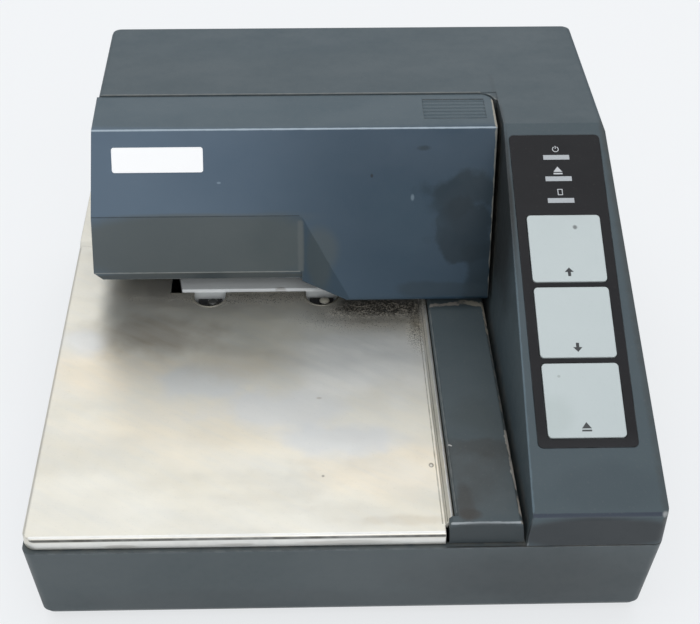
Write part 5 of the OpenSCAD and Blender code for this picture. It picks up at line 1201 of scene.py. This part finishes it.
@dataclass
class SlipBed:
    """Steel table with its burnished window edge, its rear plate and the guide beside them."""

    table_top: float = 34.8
    window: tuple[float, float, float] = (34.5, 113.0, 111.0)
    notch_x: tuple[float, float] = (48.0, 86.0)
    notch_y: float = 109.0
    notch_radius: float = 5.3
    notch_steps: int = 24
    rim_width: float = 0.65
    rim_height: float = 0.16
    lens_radius: float = 1.75
    lens_foot: float = 33.5
    lens_y: float = 107.4
    lens_shift: float = 1.0
    lens_rim: float = 0.1
    lens_rise: float = 0.75
    lens_steps: int = 28
    dome_steps: int = 7

    def edge_path(self) -> list[tuple[Vector, Vector]]:
        """Follows the window's front edge round its two notches.

        Returns:
            Places on the edge with the direction away from the opening, in case millimetres.
        """
        left, right, front = self.window
        path = [(Vector((left, front)), Vector((0.0, -1.0)))]
        for middle in self.notch_x:
            path.append((Vector((middle - self.notch_radius, front)), Vector((-0.7, -0.7))))
            for i in range(self.notch_steps + 1):
                turn = math.radians(180 + 180 * i / self.notch_steps)
                out = Vector((math.cos(turn), math.sin(turn)))
                path.append((Vector((middle, self.notch_y)) + out * self.notch_radius, out))
            path.append((Vector((middle + self.notch_radius, front)), Vector((0.7, -0.7))))
        path.append((Vector((right, front)), Vector((0.0, -1.0))))
        return path

    def window_rim(self) -> None:
        """Builds the burnished, slightly rolled edge of the printing window."""
        mesh = bmesh.new()
        profile = [(0.0, -0.5), (0.0, 0.25), (0.2, 0.85), (0.5, 1.0), (0.85, 0.7), (1.0, 0.0), (1.0, -0.5)]
        rings = []
        for place, out in self.edge_path():
            ring = []
            for share, rise in profile:
                flat = place + out * share * self.rim_width
                ring.append(mesh.verts.new(at_case(flat.x, flat.y, self.table_top + rise * self.rim_height)))
            rings.append(ring)
        for near, far in zip(rings, rings[1:]):
            for i in range(len(profile) - 1):
                mesh.faces.new((near[i], near[i + 1], far[i + 1], far[i]))
        for ring in (rings[0], rings[-1]):
            mesh.faces.new(ring)
        PieceMaker.piece("window_rim", mesh, Finishes.RIM, "case", "table_steel", smooth=True)

    def sensor_lenses(self) -> None:
        """Builds the domed lenses of the slip sensors."""
        mesh = bmesh.new()
        profile = [(self.lens_radius, 0.0)]
        for i in range(self.dome_steps):
            turn = math.radians(90 * i / self.dome_steps)
            rise = self.lens_rim + self.lens_rise * math.sin(turn)
            profile.append((self.lens_radius * math.cos(turn), rise))
        for x in self.notch_x:
            foot = at_case(x + self.lens_shift, self.lens_y, self.lens_foot)
            place = Matrix.Translation(foot) @ Matrix.Scale(MM, 4)
            PieceMaker.turned(mesh, profile, self.lens_steps, place)
        finish = Finishes.SENSOR_LENS
        PieceMaker.piece("sensor_lenses", mesh, finish, "case", "mechanism_plastic", smooth=True)

    def build(self) -> None:
        """Finishes the bed and builds its small pieces."""
        finishes = {
            "slip_table": Finishes.TABLE,
            "rear_slip_plate": Finishes.TABLE,
            "slip_guide_panel": Finishes.GUIDE,
        }
        dress_all(finishes)
        self.window_rim()
        self.sensor_lenses()


@dataclass
class ControlPanel:
    """Sloping panel: film, windows, keys and their printed marks."""

    middle_x: float = 159.55
    shoulder_y: float = 117.8
    case_top: float = 96.6
    front_z: float = 41.5
    key_places: tuple[float, ...] = (-45.45, -70.25, -95.05)
    key_top: float = 0.35
    window_places: tuple[float, ...] = (-12.9, -20.75, -28.6)
    film_top: float = 0.1
    ink: float = 0.03
    mark_below_key: float = 8.2
    mark_above_window: float = 3.0

    def plane(self) -> Matrix:
        """Gives the way from panel millimetres to the row frame.

        Returns:
            The matrix.
        """
        slope = math.atan2(self.case_top - self.front_z, self.shoulder_y)
        shoulder = at_case(self.middle_x, self.shoulder_y, self.case_top)
        return Matrix.Translation(shoulder) @ Matrix.Rotation(slope, 4, "X") @ Matrix.Scale(MM, 4)

    def mark(self, name: str, symbol: Symbol, place: Point, finish: Finish, body: str) -> None:
        """Prints one symbol.

        Args:
            name: The piece's name.
            symbol: What is printed.
            place: Across, along and out of the panel, in millimetres.
            finish: The ink.
            body: What it is printed on.
        """
        mesh = bmesh.new()
        matrix = self.plane() @ Matrix.Translation(place)
        for outline in symbol.outlines():
            PieceMaker.slab(mesh, outline, 0.0, self.ink, matrix)
        PieceMaker.piece(name, mesh, finish, body, "panel_film")

    def build(self) -> None:
        """Finishes the panel and prints its marks."""
        finishes = {
            "upper_case": Finishes.UPPER,
            "control_panel_sheet": Finishes.FILM,
            "indicator_windows": Finishes.LENS,
            "key_board": Finishes.BOARD,
        }
        dress_all(finishes)
        keys = ("forward", "reverse", "release")
        for word, along in zip(keys, self.key_places):
            dress(f"{word}_key", Finishes.KEY)
            place = (0.0, along - self.mark_below_key, self.key_top)
            self.mark(f"{word}_key_mark", Symbol(word), place, Finishes.DARK_INK, f"{word}_button")
        signs = (Symbol.POWER, Symbol.RELEASE, Symbol.SLIP)
        for symbol, along in zip(signs, self.window_places):
            place = (0.0, along + self.mark_above_window, self.film_top)
            self.mark(f"{symbol.value}_window_mark", symbol, place, Finishes.PALE_INK, "case")


@dataclass
class RibbonCover:
    """Hinged cover with its blank sticker and rod."""

    def build(self) -> None:
        """Finishes the cover."""
        finishes = {
            "ribbon_cover": Finishes.COVER,
            "blank_label": Finishes.LABEL,
            "cover_hinge_rod": Finishes.GROUND,
        }
        dress_all(finishes)


@dataclass
class PrintMechanism:
    """Frame, carriage, head, belt drive and cassette."""

    def build(self) -> None:
        """Finishes the mechanism."""
        finishes = {
            "mechanism_frame": Finishes.FRAME,
            "guide_shafts": Finishes.GROUND,
            "head_carriage": Finishes.MECHANISM,
            "print_head": Finishes.ALLOY,
            "drive_pulley": Finishes.PALE,
            "idler_pulley": Finishes.PALE,
            "carriage_belt": Finishes.BELT,
            "carriage_motor": Finishes.MOTOR,
            "ribbon_cassette": Finishes.CASSETTE,
            "ink_ribbon": Finishes.RIBBON,
            "ribbon_knob": Finishes.MECHANISM,
        }
        dress_all(finishes)


@dataclass
class SlipFeed:
    """Platen, sensors, feed rollers and the pressure rollers' release."""

    def build(self) -> None:
        """Finishes the feed."""
        finishes = {
            "platen": Finishes.BRIGHT,
            "platen_frame": Finishes.FRAME,
            "slip_sensors": Finishes.MECHANISM,
            "feed_shaft": Finishes.GROUND,
            "feed_rollers": Finishes.ROLLER,
            "feed_gear": Finishes.PALE,
            "motor_pinion": Finishes.BRASS,
            "feed_motor": Finishes.MOTOR,
            "pressure_arm": Finishes.FRAME,
            "pressure_rollers": Finishes.ROLLER,
            "release_solenoid": Finishes.TAPE,
            "solenoid_plunger": Finishes.GROUND,
        }
        dress_all(finishes)


@dataclass
class Electronics:
    """Main board and the sockets in the rear wall."""

    interface_x: tuple[float, float] = (49.0, 88.5)
    interface_z: tuple[float, float] = (10.6, 17.1)
    floor_y: float = 182.0
    contacts: int = 13
    contact_pitch: float = 2.76
    row_gap: float = 2.84
    contact_radius: float = 0.55
    contact_lift: float = 4.15
    contact_steps: int = 10
    block_depth: float = 4.2
    block_gap: float = 0.3
    lower_corner: tuple[float, float] = (1.2, 1.4)
    upper_corner: float = 0.9

    def build(self) -> None:
        """Finishes the electronics and builds the data socket's contacts."""
        finishes = {
            "main_board": Finishes.BOARD,
            "interface_connector": Finishes.SHELL,
            "drawer_connector": Finishes.MECHANISM,
            "power_inlet": Finishes.MECHANISM,
            "switch_housing": Finishes.MECHANISM,
            "power_rocker": Finishes.MECHANISM,
        }
        dress_all(finishes)
        self.socket_block()
        self.contact_rows()

    def socket_block(self) -> None:
        """Builds the insulating block inside the data socket."""
        mesh = bmesh.new()
        (left, right), (low, high) = self.interface_x, self.interface_z
        gap, (aside, rise), cut = self.block_gap, self.lower_corner, self.upper_corner
        outline = [(left + gap, low + rise), (left + aside, low + gap)]
        outline += [(right - aside, low + gap), (right - gap, low + rise)]
        outline += [(right - gap, high - cut), (right - cut, high - gap)]
        outline += [(left + cut, high - gap), (left + gap, high - cut)]
        turn = Matrix.Translation(at_case(0, self.floor_y, 0)) @ Matrix.Rotation(math.radians(90), 4, "X")
        place = turn @ Matrix.Scale(MM, 4)
        PieceMaker.slab(mesh, outline, -self.block_depth, 0.0, place)
        PieceMaker.piece("socket_block", mesh, Finishes.MECHANISM, "case", "connector_shell")

    def contact_rows(self) -> None:
        """Builds the two rows of sunken contacts."""
        mesh = bmesh.new()
        middle_x = sum(self.interface_x) / 2
        middle_z = sum(self.interface_z) / 2
        radius = self.contact_radius
        profile = [(radius, 0.0), (radius, 0.12), (radius * 0.6, 0.2)]
        spin = Matrix.Rotation(math.radians(-90), 4, "X")
        for row, count in ((1, self.contacts), (-1, self.contacts - 1)):
            for i in range(count):
                x = middle_x + (i - (count - 1) / 2) * self.contact_pitch
                z = middle_z + row * self.row_gap / 2
                foot = at_case(x, self.floor_y + self.contact_lift, z)
                place = Matrix.Translation(foot) @ spin @ Matrix.Scale(MM, 4)
                PieceMaker.turned(mesh, profile, self.contact_steps, place)
        PieceMaker.piece("socket_contacts", mesh, Finishes.CONTACT, "case", "pinion_brass")


@dataclass
class PhotoCamera:
    """Camera with the photograph's view, in pixels of a 700 by 624 image."""

    place: Point = (-0.01206, -0.34406, 0.32073)
    pitch: float = 38.5
    yaw: float = 1.43
    roll: float = 0.25
    focal: float = 1343.09
    centre: tuple[float, float] = (324.16, 299.08)
    image: tuple[float, float] = (700.0, 624.0)
    sensor: float = 36.0

    def build(self) -> None:
        """Makes the camera and sets it as the scene's own."""
        pitch, yaw, roll = (math.radians(a) for a in (self.pitch, self.yaw, self.roll))
        ahead = Vector((math.sin(yaw) * math.cos(pitch), math.cos(yaw) * math.cos(pitch), -math.sin(pitch)))
        level = Vector((math.cos(yaw), -math.sin(yaw), 0.0))
        above = level.cross(ahead)
        right = math.cos(roll) * level + math.sin(roll) * above
        up = -math.sin(roll) * level + math.cos(roll) * above
        lens = bpy.data.cameras.new("photo_camera")
        width, height = self.image
        lens.sensor_width = self.sensor
        lens.lens = self.focal * self.sensor / width
        lens.shift_x = (width / 2 - self.centre[0]) / width
        lens.shift_y = (self.centre[1] - height / 2) / width
        lens.clip_start = 0.01
        camera = bpy.data.objects.new("photo_camera", lens)
        turn = Matrix((right, up, -ahead)).transposed().to_4x4()
        camera.matrix_world = Matrix.Translation(self.place) @ turn
        bpy.context.scene.collection.objects.link(camera)
        bpy.context.scene.camera = camera
        LOG.info("camera: %.1f mm lens", lens.lens)


@dataclass(frozen=True)
class Softbox:
    """One large soft lamp."""

    name: str
    place: Point
    aim: Point
    size: tuple[float, float]
    power: float

    def build(self) -> None:
        """Hangs the lamp."""
        lamp = bpy.data.lights.new(self.name, "AREA")
        lamp.shape = "RECTANGLE"
        lamp.size, lamp.size_y = self.size
        lamp.energy = self.power
        held = bpy.data.objects.new(self.name, lamp)
        turn = (Vector(self.aim) - Vector(self.place)).to_track_quat("-Z", "Y").to_matrix().to_4x4()
        held.matrix_world = Matrix.Translation(self.place) @ turn
        bpy.context.scene.collection.objects.link(held)
        LOG.info("%s: %.1f W", self.name, self.power)


@dataclass
class Studio:
    """Plain pale floor and soft light."""

    reach: float = 3.0
    floor_colour: Colour = (0.86, 0.88, 0.90)
    floor_shade: float = 0.97
    floor_rough: float = 0.8
    floor_glow: Colour = (0.97, 0.985, 1.0)
    glow_share: float = 0.68
    sky: Colour = (0.93, 0.96, 1.0)
    sky_strength: float = 0.45
    backdrop_strength: float = 0.92

    def floor(self) -> None:
        """Lays the floor."""
        mesh = bmesh.new()
        far = self.reach
        corners = ((-far, -far), (far, -far), (far, far), (-far, far))
        mesh.faces.new([mesh.verts.new((x, y, 0.0)) for x, y in corners])
        data = bpy.data.meshes.new("floor")
        mesh.to_mesh(data)
        mesh.free()
        material = bpy.data.materials.new("floor_paper")
        material.use_nodes = True
        bench = NodeBench(material.node_tree)
        shader = material.node_tree.nodes["Principled BSDF"]
        shade = tuple(c * self.floor_shade for c in self.floor_colour)
        colour = bench.mix(bench.noise(3.0, 2.0), (*self.floor_colour, 1.0), (*shade, 1.0))
        bench.feed(shader.inputs["Base Color"], colour)
        shader.inputs["Roughness"].default_value = self.floor_rough
        glow = bench.add("Emission", {"Color": (*self.floor_glow, 1.0), "Strength": 1.0})
        share = bench.maths("MULTIPLY", self.seen(bench), self.glow_share)
        lit = bench.add("MixShader", {0: share, 1: shader.outputs[0], 2: glow.outputs[0]})
        bench.feed(material.node_tree.nodes["Material Output"].inputs["Surface"], lit.outputs[0])
        data.materials.append(material)
        ground = bpy.data.objects.new("floor", data)
        bpy.context.scene.collection.objects.link(ground)

    def seen(self, bench: NodeBench) -> bpy.types.NodeSocket:
        """Tells rays that show the backdrop from rays that light the object.

        Args:
            bench: Bench of a floor or world tree.
        Returns:
            1 for camera, glossy and transmitted rays.
        """
        path = bench.add("LightPath").outputs
        mirrored = bench.maths("ADD", path["Is Glossy Ray"], path["Is Transmission Ray"])
        return bench.maths("ADD", path["Is Camera Ray"], mirrored)

    def surround(self) -> None:
        """Sets the even light from all round, with a pale backdrop for the camera."""
        world = bpy.data.worlds.new("studio")
        world.use_nodes = True
        bpy.context.scene.world = world
        bench = NodeBench(world.node_tree)
        back = world.node_tree.nodes["Background"]
        back.inputs[0].default_value = (*self.sky, 1.0)
        back.inputs[1].default_value = self.sky_strength
        pale = bench.add("Background", {"Color": (*self.floor_glow, 1.0), "Strength": self.backdrop_strength})
        camera = bench.add("LightPath").outputs["Is Camera Ray"]
        both = bench.add("MixShader", {0: camera, 1: back.outputs[0], 2: pale.outputs[0]})
        bench.feed(world.node_tree.nodes["World Output"].inputs["Surface"], both.outputs[0])

    def build(self) -> None:
        """Builds floor, surround and lamps."""
        self.floor()
        self.surround()
        lamps = (
            Softbox("overhead_softbox", (-0.10, 0.10, 1.25), (0.0, 0.0, 0.0), (1.5, 1.2), 4.6),
            Softbox("rear_softbox", (-0.10, 1.10, 0.95), (0.0, 0.0, 0.05), (1.8, 0.9), 4.3),
            Softbox("front_softbox", (0.12, -1.10, 0.80), (0.0, 0.0, 0.05), (1.0, 0.8), 5.2),
        )
        for lamp in lamps:
            lamp.build()
        bpy.context.scene.view_settings.view_transform = "Standard"


def main() -> None:
    """Builds the studio and every sub-assembly in order."""
    logging.basicConfig(level=logging.INFO, format="%(name)s %(message)s")
    assemblies = (
        PhotoCamera(),
        Studio(),
        LowerShell(),
        SlipBed(),
        ControlPanel(),
        RibbonCover(),
        PrintMechanism(),
        SlipFeed(),
        Electronics(),
    )
    for assembly in assemblies:
        assembly.build()


if __name__ == "__main__":
    main()
